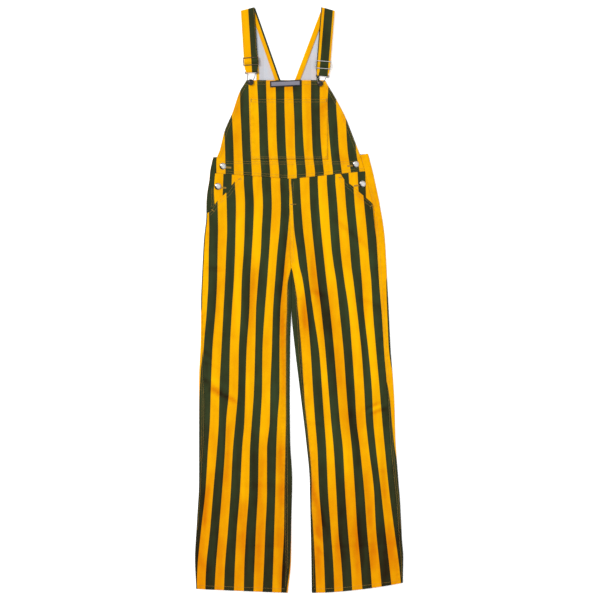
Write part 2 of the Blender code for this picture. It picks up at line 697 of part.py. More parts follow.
    def build_hook(self, finish) -> bpy.types.Object:
        """The wire loop, from its bar in the strap to its eye round the button's shank."""
        reach = self.hook_reach()
        aside = (self.plan.button - self.bar()).dot(self.across)
        points = []
        for s, w in self.hook_points():
            drift = aside * smoothstep(HOOK_SHOULDER, reach * 0.8, s)
            spot = self.bar() + self.down * s + self.across * (w + drift)
            z = self.BAR_Z + (self.EYE_Z - self.BAR_Z) * smoothstep(HOOK_SHOULDER, reach * 0.5, s)
            points.append(place(spot.x, spot.y, z))
        curve = bpy.data.curves.new(f"hook_{self.side}", 'CURVE')
        curve.dimensions = '3D'
        curve.bevel_depth = WIRE * MM
        curve.bevel_resolution = 1
        line = curve.splines.new('POLY')
        line.points.add(len(points) - 1)
        for target, point in zip(line.points, points):
            target.co = (*point, 1.0)
        line.use_cyclic_u = True
        curve.materials.append(finish)
        item = bpy.data.objects.new(f"hook_{self.side}", curve)
        bpy.context.scene.collection.objects.link(item)
        return item

    def build_button(self, finish) -> bpy.types.Object:
        """The dark button: a shank through the hook's eye and a low domed cap."""
        foot = FLAT + BIB_LIFT + SEAM
        under = self.EYE_Z + WIRE + SEAM
        profile = [(0, foot), (BUTTON_SHANK, foot), (BUTTON_SHANK, under),
                   (BIB_BUTTON - 0.8, under), (BIB_BUTTON, under + 0.7),
                   (BIB_BUTTON - 0.6, under + 1.5), (BIB_BUTTON * 0.55, under + 2.1),
                   (0, under + 2.3)]
        return turned(f"bib_button_{self.side}", profile, self.plan.button, finish)


def build_side_button(name: str, centre: Vector, finish) -> bpy.types.Object:
    """A bright domed button on the side opening."""
    foot = FLAT + faded(centre.x, centre.y, -230, 200) + SEAM
    rim, rise = SIDE_BUTTON, 3.4
    profile = [(0, foot), (rim - 1.0, foot), (rim, foot + 0.9)]
    profile += [(rim * math.cos(a), foot + 0.9 + (rise - 0.9) * math.sin(a))
                for a in (math.radians(d) for d in (25, 50, 72))]
    profile.append((0, foot + rise))
    return turned(f"side_button_{name}", profile, centre, finish)


def main() -> None:
    """Build every piece of the garment."""
    clear_scene()
    gold = material("gold_twill", GOLD, 0.85)
    green = material("green_twill", GREEN, 0.85)
    bright = material("bright_metal", BRIGHT_METAL, 0.25, 1.0)
    dark = material("dark_metal", DARK_METAL, 0.3, 0.8)
    patch = material("label_weave", LABEL_GREY, 0.8)

    backs = {side: BackHalf(side) for side in ("left", "right")}
    for side, back in backs.items():
        back.build(green)
        front = Front(back)
        front.build(gold)
        Bearer(front).build(green)
        build_binding(back, gold)
        suspender = Suspender(side)
        suspender.build_strap(green)
        suspender.build_slider(bright)
        suspender.build_hook(bright)
        suspender.build_button(dark)

    bib = Bib(backs["left"], backs["right"])
    bib.build(gold)
    bib.build_pocket(green)
    build_label(patch)
    for name, centre in SIDE_BUTTONS.items():
        build_side_button(name, centre, bright)


main()
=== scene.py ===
"""Striped bib overalls, laid flat with the front up: cloth, sewing, fittings and finishes.

The charts are in millimetres. "up" is a height above the lowest point of the hems and "x" a place
across the garment, towards the wearer's left. Meshes are in metres, in the axes of the frame.
"""

import logging
from bisect import bisect_right
from dataclasses import dataclass, field
from enum import Enum
from math import ceil, cos, dist, exp, pi, radians, sin, tau
from typing import Callable, NamedTuple, Sequence

import bmesh
import bpy
from mathutils import Matrix, Vector


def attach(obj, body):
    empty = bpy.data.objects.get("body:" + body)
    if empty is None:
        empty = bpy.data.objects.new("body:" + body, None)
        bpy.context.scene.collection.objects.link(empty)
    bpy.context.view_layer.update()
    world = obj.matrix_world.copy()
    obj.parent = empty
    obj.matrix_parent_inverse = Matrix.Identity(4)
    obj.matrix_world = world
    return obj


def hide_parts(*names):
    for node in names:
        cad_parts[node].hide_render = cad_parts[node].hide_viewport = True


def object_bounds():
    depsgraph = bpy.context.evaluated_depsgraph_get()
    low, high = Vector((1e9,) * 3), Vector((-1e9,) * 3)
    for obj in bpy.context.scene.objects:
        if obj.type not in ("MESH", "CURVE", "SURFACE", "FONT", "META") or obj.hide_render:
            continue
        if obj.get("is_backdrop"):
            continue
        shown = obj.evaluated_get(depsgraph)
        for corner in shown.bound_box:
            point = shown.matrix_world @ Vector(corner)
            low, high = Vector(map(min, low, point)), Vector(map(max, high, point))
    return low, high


Piece = bpy.types.Object
Finish = bpy.types.Material
Pair = tuple[float, float]
Rows = Sequence[Sequence[float]]
Line = Callable[[float], float]
Surface = Callable[[float, float], float]  # the height of a face at (x, up)

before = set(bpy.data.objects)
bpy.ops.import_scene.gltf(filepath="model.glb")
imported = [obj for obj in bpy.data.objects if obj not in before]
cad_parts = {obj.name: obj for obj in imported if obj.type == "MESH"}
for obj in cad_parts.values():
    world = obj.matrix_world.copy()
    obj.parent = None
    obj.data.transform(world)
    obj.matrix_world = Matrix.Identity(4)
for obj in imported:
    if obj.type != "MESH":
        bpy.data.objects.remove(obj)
CAD_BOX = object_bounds()
log = logging.getLogger("overalls")

MM = 0.001
LENGTH = 1440  # strap fold to the lowest point of the hems
CLOTH = 1.2  # wall of one layer of cloth
SEAM = 0.3  # clearance between pieces that lie on each other
ABUT = 0.12  # clearance between edges that meet at a seam
FLAT = 3.2  # thickness of the laid leg at its rolled edges
LAYER = CLOTH + SEAM  # what one more layer adds
ROLL = FLAT / 2  # outer radius of the rolled edges
PITCH = 22  # width of one stripe
HEM = 11  # depth of a leg's turned hem
HEM_STEP = 0.7  # what the turned cloth adds to the wall
EDGE_ROUND = 1.3  # how far in a folded edge is rounded
EDGE_DROP = 0.5  # and how far it comes down
FINE = 5  # widest spacing of the rows of a panel
WHITE = (1.0, 1.0, 1.0)
BLACK = (0.0, 0.0, 0.0)


class Wearer(Enum):
    """The wearer's two sides; the value is the sign of X there."""
    RIGHT = -1
    LEFT = 1

    @property
    def word(self) -> str:
        """The side as it stands in the names of nodes."""
        return self.name.lower()


RIGHT, LEFT = Wearer


class Stock(Enum):
    """Names of material slots; nothing reads them."""
    GOLD = "gold_twill"
    GREEN = "green_twill"
    BRIGHT = "bright_metal"
    DARK = "dark_metal"
    LABEL = "label_weave"


class Edge(NamedTuple):
    """A point of an edge: its height, its place across and its wrap on to the front."""
    up: float
    x: float
    wrap: float = 0.0


class StripeRow(NamedTuple):
    """Where the stripes change colour at one height; an even number starts a gold stripe."""
    up: float
    first: int
    edges: tuple[float, ...]


class Crease(NamedTuple):
    """A soft ridge or trough: its middle, direction, half length, half width and height.

    shade is the shade painted into its colours, in percent: how much darker they are painted;
    a ridge gets a painted highlight.
    """
    x: float
    up: float
    angle: float
    length: float
    width: float
    rise: float
    shade: int = 0


class StrapPlan(NamedTuple):
    """One strap in plan: its fold, its loop at the hook, and what is on it."""
    fold: Vector
    loop: Vector
    skew: float
    slider: float
    button: Vector
    stripes: tuple  # places across the strap and the count of stripes there


class Knot(NamedTuple):
    """One point of a cloth grid: its place, and its place in the weave.

    Its painted shade says how much darker its colours are painted, in creases and towards the
    hems, and lighter on ridges; sewn how much a seam puckers it, and turned which stripe of the
    printed side is folded over to the inside: 1 for gold, -1 for green.
    """
    x: float
    up: float
    z: float
    stripe: float
    warp: float
    painted_shade: float = 0.0
    sewn: float = 0.0
    turned: float = 0.0


def chart(kind: type, *rows: tuple) -> tuple:
    """The rows of a chart, each made the kind of row that it is."""
    return tuple(kind(*row) for row in rows)


def both(kind: type, right: Sequence[tuple], left: Sequence[tuple]) -> dict[Wearer, tuple]:
    """The charts of the wearer's right side and left side."""
    return {RIGHT: chart(kind, *right), LEFT: chart(kind, *left)}


# --- Size charts ---

CROTCH = 791  # height of the crotch point
CLOSED = 799  # above this the two fronts meet edge to edge
BACK_SIDE = both(Edge, (
    (0, -253, 2.5), (80, -256, 2.2), (179, -251, 4.9), (277, -246, 6.2), (375, -246, 12.3), (474, -246, 14),
    (523, -246, 11.1), (621, -242, 5.4), (720, -241, 3), (791, -238, 2.4), (867, -234, 2.4), (931, -228, 2.4),
    (939, -228, 9.8), (953, -228, 20.2), (973, -227, 18.2), (990, -225, 15.5), (1014, -221, 13),
    (1035, -219, 13.5), (1064, -213, 9.8), (1071, -211, 8.4)
), (
    (0, 255, 3.7), (80, 256, 6.9), (129, 253, 8.1), (228, 248, 9.8), (277, 244, 11.3), (375, 237, 13.8),
    (474, 234, 15.7), (523, 231, 16), (597, 225, 16.2), (678, 221, 17.2), (757, 217, 19.7), (867, 211, 20.7),
    (917, 205, 19.6), (944, 200, 16), (960, 197.5, 17), (990, 191, 18.4), (1036, 181, 18.9),
    (1064, 173, 18.7), (1076, 169, 18.4)
))
BACK_INSEAM = both(Edge, (
    (0, -28, 3.2), (80, -20, 9.8), (179, -19, 12.1), (277, -17, 13.8), (375, -22, 9.8), (474, -23, 8.9),
    (621, -22, 9.8), (676, -19.8, 10.6), (697, -18.85, 10.5), (720, -18.8, 10.4), (757, -18.8, 9.4),
    (791, -18.8, 2.6)
), (
    (0, 31, 3), (80, 30, 3), (228, 27, 3.7), (277, 26, 4.7), (375, 17, 6.2), (474, 5, 7.9), (523, -1, 8.9),
    (597, -10, 11.3), (676, -18, 15.6), (697, -18.8, 14.8), (720, -18.85, 13.8), (757, -18.85, 8.4),
    (791, -18.85, 2.6)
))
BACK_SEAM = chart(Edge, (791, -18.85), (931, -22), (1080, -26), (1209, -29))
ARMHOLE = both(Edge, (
    (1072.5, -192), (1094, -175), (1126, -155), (1168, -133), (1207, -116), (1236, -107), (1266, -105),
    (1305, -107), (1354, -115), (1396, -129), (1424, -140)
), (
    (1077.5, 150), (1099, 131), (1131, 107), (1170, 83), (1207, 64), (1236, 54), (1266, 50), (1305, 53),
    (1354, 60), (1396, 74), (1424, 84)
))
NECK_POINT = Edge(1212, -29)
NECK_TOP = {RIGHT: Edge(1438, -108), LEFT: Edge(1438, 56)}
BINDING_WIDTH = 13.5
BINDING_TOP = {RIGHT: 1437, LEFT: 1428}
BINDING_TUCK = 1423  # from here up it narrows to what shows beside the strap

FRONT_SEAM = chart(Edge, (799, -19.3), (843, -22), (894, -22), (961, -24), (1018, -21.5))
SCOOP = both(Edge, (
    (933, -225.3), (940, -217), (963, -200), (983, -177), (1007, -159), (1024, -145)
), (
    (944, 183.7), (954, 181), (969, 164), (984, 145), (994, 134), (1012, 112), (1028, 102)
))
POCKET_LAP = 14  # how far a front lies on its pocket bearer
POCKET_SLOPE = 26  # and how far in from there it comes down again
BEARER_FEET = {RIGHT: (957, 946), LEFT: (951, 951)}
BEARER_UNDERLAP = 10
# Where a hem starts and ends to climb to the side seam, how high, and how much it bends
HEM_CLIMB = {RIGHT: (-28, -253, 9.5, 1), LEFT: (31, 255, 24.5, 1.7)}
HEM_CLIMB_TOP = 130  # above this the rows run level

WAIST = chart(Edge, (1031.5, -210), (1017.6, -21.5), (1036.5, 164))
WAISTBAND_TOP = chart(Edge, (1063, -205), (1060.8, -20), (1062, 150))
BIB_TOP = 1260
BIB_SIDE = both(Edge, (
    (1071, -202.1), (1089, -195), (1133, -184), (1180, -164), (1232, -146), (1252, -134), (1260, -129)
), (
    (1076, 150.1), (1089, 145), (1133, 128), (1171, 113), (1215, 90), (1252, 68), (1260, 64)
))
BIB_LIFT = 1.3  # how far the bib stands off the back above its pocket
BIB_LIFT_FULL = 1205
BIB_LIFT_NONE = 1140
POCKET_BOTTOM = 1065
POCKET_TOP = 1216
POCKET_EDGE = both(Edge, ((1018, -113), (1066, -118), (1216, -122), (1260, -116)),
                   ((1018, 70), (1066, 71), (1216, 71), (1260, 52)))

STRAPS = {
    RIGHT: StrapPlan(Vector((-126.5, 1435.6)), Vector((-116.8, 1278.5)), 0.19, 129.5,
                     Vector((-118.8, 1254.5)), ((-21, 0), (1.2, 1), (23.2, 2))),
    LEFT: StrapPlan(Vector((71, 1435.6)), Vector((57.6, 1270)), -0.19, 138.5,
                    Vector((51.4, 1251.5)), ((-18.6, -1), (-14.7, 0), (-9.9, 1), (12.4, 2), (34, 3))),
}
SIDE_BUTTONS = {
    "upper_right": Vector((-187.5, 1048.5)), "lower_right": Vector((-199.8, 999)),
    "upper_left": Vector((138.8, 1053.3)), "lower_left": Vector((155.6, 1004.8)),
}
# How far in from a button's edge its cap or rim is, and how high there
BIB_BUTTON_CAP = (
    (0.8, 0), (0.2, 0.25), (0, 0.7), (0.15, 1.1), (0.6, 1.5), (1.3, 1.72), (1.9, 1.6), (2.5, 1.5),
    (3.1, 1.62), (3.7, 2), (5.18, 2.22), (6.512, 2.3), (7.4, 2.32))
SIDE_BUTTON_RIM = ((1, 0), (0.2, 0.2), (0, 0.6), (0.1, 0.95), (0.45, 1.2), (0.9, 1.3))

# Where the printed stripes meet, from each panel's first colour change to its last
BIB_STRIPES = chart(StripeRow,
    (1035, -1, (-181, -160, -137, -116, -93, -71, -49, -28, -6, 17, 39, 61, 83, 105, 127)),
    (1089, -1, (-182, -161, -140, -119, -97, -75, -54, -32, -10, 12, 33, 55, 77, 98, 119, 140)),
    (1138, -1, (-184, -163, -142, -121, -98, -77, -56, -34, -11, 9, 31, 52, 73, 95, 116)),
    (1212, 1, (-145, -123, -101, -80, -57, -36, -14, 7, 29, 51, 70, 91)),
    (1246, 1, (-145, -124, -103, -81, -58, -36, -16, 7, 29, 51, 72)))
FRONT_STRIPES = both(StripeRow, (
    (0, 0, (-252, -231, -208, -185, -160, -136, -112, -90, -66, -44)),
    (56, 0, (-250, -229, -205, -183, -158, -135, -110, -87, -64, -42)),
    (154, 0, (-241, -219, -197, -175, -153, -130, -106, -83, -61, -37)),
    (252, 0, (-230, -211, -189, -168, -145, -123, -101, -79, -58, -36)),
    (351, 0, (-224, -202, -182, -163, -140, -121, -99, -79, -56, -34)),
    (425, 0, (-219, -197, -179, -156, -134, -116, -95, -72, -53, -32)),
    (498, 0, (-217, -196, -172, -150, -132, -111, -91, -71, -48, -31)),
    (597, 0, (-213, -191, -170, -148, -129, -108, -90, -67, -48, -30)),
    (695, 0, (-205, -186, -165, -143, -122, -106, -84, -64, -46, -28)),
    (769, 0, (-201, -182, -160, -141, -120, -101, -78, -59, -39)),
    (843, 0, (-200, -179, -157, -136, -116, -94, -73, -53, -32)),
    (892, 0, (-199, -177, -156, -134, -113, -92, -70, -48, -27)),
    (953, 0, (-200, -178, -155, -133, -111, -89, -67, -45)),
    (1010, 3, (-136, -114, -92, -69, -47, -25))
), (
    (0, 1, (64, 87, 108, 131, 156, 180, 204, 229, 252)),
    (56, 1, (62, 85, 105, 128, 152, 176, 199, 223, 247)),
    (154, 1, (57, 78, 96, 120, 143, 167, 189, 212, 234)),
    (252, 1, (49, 71, 91, 113, 137, 160, 184, 201, 221)),
    (351, 1, (45, 67, 85, 108, 130, 150, 172, 189, 211, 233)),
    (425, 1, (39, 62, 78, 100, 122, 141, 164, 182, 204, 227)),
    (498, 1, (34, 57, 72, 94, 116, 137, 160, 179, 198, 220)),
    (597, 1, (28, 49, 64, 86, 109, 130, 153, 170, 189, 211)),
    (695, 1, (19, 34, 54, 76, 99, 122, 142, 159, 181, 204)),
    (769, 1, (9, 24, 45, 67, 91, 111, 133, 154, 177, 199)),
    (806, 1, (0, 20, 41, 63, 85, 106, 128, 151, 173, 195)),
    (843, 1, (-5, 16, 37, 59, 80, 102, 125, 148, 170, 194)),
    (892, 1, (-12, 10, 32, 54, 76, 98, 121, 143, 166, 187)),
    (953, 1, (-16, 5, 27, 49, 72, 94, 115, 137, 160, 181)),
    (1010, 1, (-20, 2, 25, 46, 68, 89, 111))
))
BEARER_STRIPES = both(StripeRow, ((950, 1, (-189, -167)), (1035, 1, (-186, -165))),
                      ((950, 2, (126, 148, 165)), (1035, 2, (121.5, 143.5, 163))))
# Colour changes of the back, measured from its rolled edge on to the underside: below the side,
# on the side's wrap and at the inseam
BACK_SIDE_STRIPE = both(Edge, (
    (0, 30), (277, 25), (425, 21), (523, 17), (597, 13), (720, 5), (791, 0)
), (
    (0, 28), (105, 27), (252, 24), (302, 22), (425, 12.5), (523, 6), (597, 2), (791, 0)
))
BACK_WRAP_STRIPE = both(Edge, (
    *BACK_SIDE_STRIPE[RIGHT][:5],
    (672, 4), (690, -1), (702, -3.2), (843, -3.6), (931, -10), (942, -21.8), (1064, -21.8), (1400, -21.8)
), (
    *BACK_SIDE_STRIPE[LEFT][:4],
    (351, 16.5), (425, 12.5), (498, 8.5), (543, 1), (560, -3), (605, -5.3), (695, -4.8), (750, -3.8),
    (770, -2.6), (780, 0.5), (843, 1), (990, 2.5), (1076, 2.5), (1266, 20)
))
BACK_INSEAM_STRIPE = both(Edge, ((0, -4), (105, -2), (154, 0), (252, 2.5), (791, 3)), ((0, 3), (791, 3)))

# Broad swells of the whole lie, then the creases of each panel
SWELLS = chart(Crease,
    (-195, 757, 62, 48, 18, 1.6), (-128, 770, 78, 46, 16, 1.2), (-165, 449, 80, 60, 18, 1.8),
    (-72, 375, 84, 70, 18, 1.4), (-120, 230, 88, 150, 30, 1.6), (-150, 620, 96, 120, 26, 1.4),
    (189, 459, 112, 50, 17, 1.8), (196, 297, 100, 52, 16, 1.4), (60, 640, 98, 130, 26, 1.6),
    (110, 430, 94, 120, 28, 1.5), (130, 180, 90, 130, 30, 1.6), (-70, 850, 52, 60, 16, 1.5),
    (45, 850, 128, 60, 16, 1.5), (110, 880, 100, 70, 20, 1.3), (-30, 1135, 90, 50, 45, 1.2),
    (100, 1120, 112, 36, 14, 1.2), (-160, 1120, 70, 36, 14, 1.2))
BIB_CREASES = chart(Crease,
    (-153, 1150, 88, 70, 9, -1.4, 24), (-172, 1126, 68, 34, 7, 0.8, -8), (-160, 1208, 74, 26, 9, -0.6, 24),
    (-113, 1231, 90, 22, 8, -1, 20), (56, 1160, 86, 42, 13, -1.5, 32), (78, 1182, 80, 34, 9, 0.9, -8),
    (66, 1202, 40, 30, 8, -0.5, 20), (98, 1152, 64, 30, 9, -0.4, 20), (-40, 1240, 0, 40, 7, -0.7, 24),
    (60, 1240, 0, 26, 7, -0.5, 16), (-67, 1138, 88, 74, 12, 0.8, -8), (-46, 1165, 90, 60, 9, -0.3, 10),
    (2, 1113, 90, 70, 12, 0.8, -12), (-100, 1150, 90, 60, 9, 0.4, -8), (20, 1150, 90, 60, 9, -0.3, 12),
    (128, 1108, 64, 46, 9, 0.5, -12), (-187, 1096, 70, 26, 8, -0.6, 24), (105, 1068, -30, 20, 7, -0.4, 16),
    (-100, 1056, 4, 60, 5, -0.3, 6), (60, 1044, -4, 50, 5, -0.3, 6))
FRONT_CREASES = both(Crease, (
    (-150, 815, 88, 145, 11, 1.6, -24), (-104, 872, 86, 92, 11, 1.3, -22), (-72, 800, 83, 90, 11, 1.4, -18),
    (-63, 935, 88, 50, 8, -0.8, 18), (-34, 820, 85, 70, 7, -0.9, 24), (-41, 625, 90, 165, 8, -1.5, 50),
    (-117, 718, 87, 78, 9, -1.4, 38), (-199, 715, 87, 50, 8, -1.2, 28), (-206, 796, -8, 22, 5, -0.9, 28),
    (-232, 830, 86, 110, 9, 0.8, -12), (-137, 540, 90, 105, 8, -0.7, 16), (-125, 500, 90, 80, 9, 0.8, -14),
    (-95, 590, 90, 120, 10, 0.9, -10), (-66, 560, 90, 150, 9, 0.7, -8), (-200, 600, 88, 60, 10, 0.7, -10),
    (-240, 640, 0, 14, 6, -0.5, 24), (-204, 497, -30, 16, 7, -1.2, 72), (-172, 479, -26, 28, 5, -1.3, 50),
    (-190, 512, -30, 34, 6, 1.1, -16), (-224, 586, -40, 22, 5, -0.6, 22), (-215, 560, -20, 30, 5, -0.5, 16),
    (-228, 520, -30, 20, 5, -0.6, 30), (-205, 452, -25, 30, 5, -0.4, 12), (-185, 635, -10, 40, 5, -0.3, 10),
    (-174, 352, 86, 70, 8, -1.1, 18), (-186, 250, 86, 70, 8, -0.6, 12), (-88, 342, 90, 42, 9, -1.2, 23),
    (-98, 255, 88, 60, 8, -0.7, 14), (-43, 332, 90, 44, 9, -1.6, 34), (-44, 245, 90, 30, 9, -1.1, 27),
    (-133, 310, 90, 75, 9, 0.9, -11), (-66, 300, 90, 90, 9, 0.8, -9), (-213, 300, 87, 80, 9, 0.9, -10),
    (-227, 222, 84, 64, 7, -1.6, 39), (-141, 203, 90, 24, 9, -1.2, 18), (-99, 108, 90, 62, 9, -1.1, 19),
    (-193, 96, 87, 54, 9, -1.1, 19), (-145, 50, 92, 22, 10, -1, 16), (-145, 122, 90, 26, 9, -0.6, 11),
    (-44, 132, 90, 34, 9, -1, 19), (-42, 40, 90, 30, 9, -0.9, 18), (-243, 82, 112, 26, 9, -1.1, 22),
    (-120, 150, 90, 60, 8, 0.9, -11), (-168, 180, 87, 80, 8, 0.8, -9), (-70, 100, 90, 90, 9, 0.8, -9),
    (-216, 120, 84, 60, 8, 0.7, -8), (-130, 265, 0, 60, 5, -0.3, 6), (-80, 115, 1, 62, 4, -0.6, 9)
), (
    (66, 870, 97, 110, 12, 1.7, -27), (132, 680, 97, 100, 11, 1.5, -24), (178, 620, 94, 130, 12, 1.3, -24),
    (108, 953, 98, 44, 11, 1, -8), (92, 770, 98, 90, 9, 0.7, -8), (160, 800, 96, 60, 11, 0.8, -11),
    (129, 884, -40, 66, 5, -1.4, 27), (176, 712, -22, 34, 6, -1.1, 19), (160, 965, -50, 30, 6, -0.7, 16),
    (200, 780, 80, 26, 7, -0.6, 24), (39, 778, 98, 74, 9, -1.9, 50), (14, 682, 95, 50, 8, -1.7, 48),
    (-3, 792, 84, 46, 15, 1.5, -24), (47, 736, 160, 22, 6, -0.8, 24), (50, 605, 96, 110, 9, 0.8, -16),
    (28, 560, 97, 90, 7, 0.5, -8), (66, 700, 97, 60, 22, -0.8, 24), (88, 590, 100, 90, 22, -0.9, 27),
    (117, 470, 102, 90, 19, -1, 27), (143, 362, 100, 74, 15, -0.8, 16), (88, 400, 94, 98, 11, 0.9, -10),
    (170, 480, 96, 60, 10, 0.8, -16), (182, 461, 22, 22, 4, -1.2, 45), (194, 447, 20, 20, 4, -1.1, 50),
    (187, 454, 21, 22, 4, 1, -30), (208, 462, 100, 24, 5, -0.6, 16), (46, 414, -12, 26, 5, -0.7, 13),
    (60, 300, 96, 60, 10, 0.8, -9), (112, 330, 97, 60, 9, 0.7, -8), (190, 350, 98, 70, 9, 0.8, -9),
    (38, 236, 108, 86, 8, -1.8, 43), (49, 158, 100, 34, 9, -1.2, 33), (46, 66, 90, 44, 10, -1, 23),
    (141, 118, 91, 82, 9, -1.3, 30), (183, 90, 94, 32, 11, -1.6, 33), (174, 192, 92, 34, 8, -1.1, 21),
    (166, 262, 98, 34, 8, -1, 19), (211, 246, 97, 52, 8, -1.3, 26), (203, 300, -10, 14, 5, -0.8, 19),
    (224, 122, 96, 50, 9, -1.1, 25), (96, 112, 90, 36, 9, -0.9, 14), (118, 240, 92, 60, 8, -0.6, 11),
    (155, 170, 93, 84, 9, 0.9, -9), (118, 90, 91, 80, 8, 0.8, -8), (72, 150, 94, 90, 9, 0.9, -10),
    (203, 150, 96, 64, 8, 0.9, -10), (240, 130, 95, 80, 7, 0.6, -8), (110, 115, 1, 60, 4, -0.6, 9),
    (196, 121, 4, 46, 4, -0.5, 8), (48, 152, -58, 15, 4, -0.8, 24), (46, 130, -55, 14, 4, 0.7, -20),
    (51, 104, -50, 13, 4, -0.8, 24)
))
LOFT = 1.5  # how far the middle of a panel stands off the layer below
LOFT_EDGE = 30  # how far in from a panel's edge it reaches that
CREASE_EDGE = 22  # and the creases their full height
CREASE_BOW = 0.3  # how much a crease bends along its length
DEEPEST = -0.4  # a trough ends here, below the flat lie
SEAM_FLAT = 16  # creases die away this close to the waist seam
PUCKER = 17  # sewn edges draw the cloth in as far as this
PUCKER_FULL = 5  # and fully up to this
FOOT_SHADE = 0.37  # painted shade: how much darker the cloth's colours are painted towards the hems
FOOT_SHADE_FROM = {RIGHT: 510, LEFT: 400}  # from this height downwards
FOOT_SHADE_FULL = 100  # and fully below this one


# --- Charts and lines ---

def ease(low: float, high: float, value: float) -> float:
    """0 below low, 1 above high and a soft slope between; low may be the larger."""
    t = min(1, max(0, (value - low) / (high - low)))
    return t * t * (3 - 2 * t)


def hemmed(depth: float, distance: float, soft: float = 1) -> float:
    """1 on a turned hem, at a distance in from its fold, and softly 0 beyond its depth."""
    return ease(depth + soft, depth - soft, distance)


def puckered(distance: float) -> float:
    """How much a sewn edge puckers the cloth, at a distance in from it."""
    return ease(PUCKER, PUCKER_FULL, distance)


def place(x: float, up: float, z: float) -> Vector:
    """A chart point, in millimetres, as a point of the scene."""
    return Vector((x, up - LENGTH / 2, z)) * MM


class Course:
    """A smooth line through a chart's rows that never swings past them."""

    def __init__(self, rows: Rows, column: int = 1) -> None:
        """Read one column of a chart.

        Args:
            rows: the chart, whose rows start with a height and climb.
            column: which column to read.
        """
        self.ups = [row[0] for row in rows]
        self.values = [row[column] for row in rows]
        steps = [(b - a) / (q - p) for a, b, p, q in
                 zip(self.values, self.values[1:], self.ups, self.ups[1:])]
        bends = [0.0 if one * two <= 0 else 2 * one * two / (one + two) for one, two in zip(steps, steps[1:])]
        self.slopes = [steps[0], *bends, steps[-1]]

    def at(self, up: float) -> float:
        """The value at a height; it stays the same beyond the chart."""
        if up <= self.ups[0]:
            return self.values[0]
        if up >= self.ups[-1]:
            return self.values[-1]
        i = bisect_right(self.ups, up) - 1
        span = self.ups[i + 1] - self.ups[i]
        t = (up - self.ups[i]) / span
        rest = 1 - t
        return ((1 + 2 * t) * rest * rest * self.values[i] + t * rest * rest * span * self.slopes[i]
                + t * t * (3 - 2 * t) * self.values[i + 1] - t * t * rest * span * self.slopes[i + 1])


def straight(rows: Rows, value: float, key: int = 0, column: int = 1) -> float:
    """Read a chart on straight lines; key is the column that value stands for."""
    if value <= rows[0][key]:
        return rows[0][column]
    for low, high in zip(rows, rows[1:]):
        if value <= high[key]:
            t = (value - low[key]) / (high[key] - low[key])
            return low[column] + (high[column] - low[column]) * t
    return rows[-1][column]


def waist_at(x: float) -> float:
    """Height of the waist seam at a place across."""
    return straight(WAIST, x, key=1, column=0)


def band_at(x: float) -> float:
    """Height of the waistband's upper edge at a place across."""
    return straight(WAISTBAND_TOP, x, key=1, column=0)


def heights(stops: Sequence[float], step: float = FINE) -> list[float]:
    """The stops, with even heights between any two further apart than step."""
    rows = [stops[0]]
    for low, high in zip(stops, stops[1:]):
        count = max(1, ceil(abs(high - low) / step))
        rows += [low + (high - low) * i / count for i in range(1, count + 1)]
    return rows


def folded(edge: float, hem: float, inwards: int) -> list[float]:
    """Rows at a folded edge and at its hem's step, from the edge inwards."""
    return [edge + inwards * d for d in (0, 0.5, 1.3, hem - 1.5, hem + 1.5)]


def spread(low: float, high: float, count: int, first: Sequence[float],
           last: Sequence[float] | None = None) -> list[float]:
    """Places from one edge to the other.

    Args:
        low: place of the one edge.
        high: place of the other.
        count: how many even cells fill the middle.
        first: distances from the one edge.
        last: distances from the other, if they differ.

    Returns:
        The places, in order.
    """
    start = [low + d for d in first]
    end = [high - d for d in reversed(last or first)]
    middle = [start[-1] + (end[0] - start[-1]) * i / count for i in range(1, count)]
    return start + middle + end


def offset(line: Sequence[Edge], distance: float) -> list[Edge]:
    """A line moved sideways, to the right of its run by a distance."""
    result = []
    for i, point in enumerate(line):
        before, after = line[max(i - 1, 0)], line[min(i + 1, len(line) - 1)]
        run = Vector((after.x - before.x, after.up - before.up)).normalized()
        result.append(Edge(point.up - run.x * distance, point.x + run.y * distance))
    return result


LEG_LEVELS = heights(folded(0, HEM, 1) + [40, CROTCH])  # rows of both layers of a leg


def edge_drop(distance: float) -> float:
    """How far a folded edge comes down, at a distance in from it."""
    return EDGE_DROP * max(0, 1 - distance / EDGE_ROUND) ** 2


def hem_rise(side: Wearer, x: float, up: float) -> float:
    """How much a row rises near the hem, which climbs to the side seam."""
    inner, outer, rise, power = HEM_CLIMB[side]
    share = min(1, max(0, (x - inner) / (outer - inner)))
    return rise * share ** power * max(0, 1 - up / HEM_CLIMB_TOP)


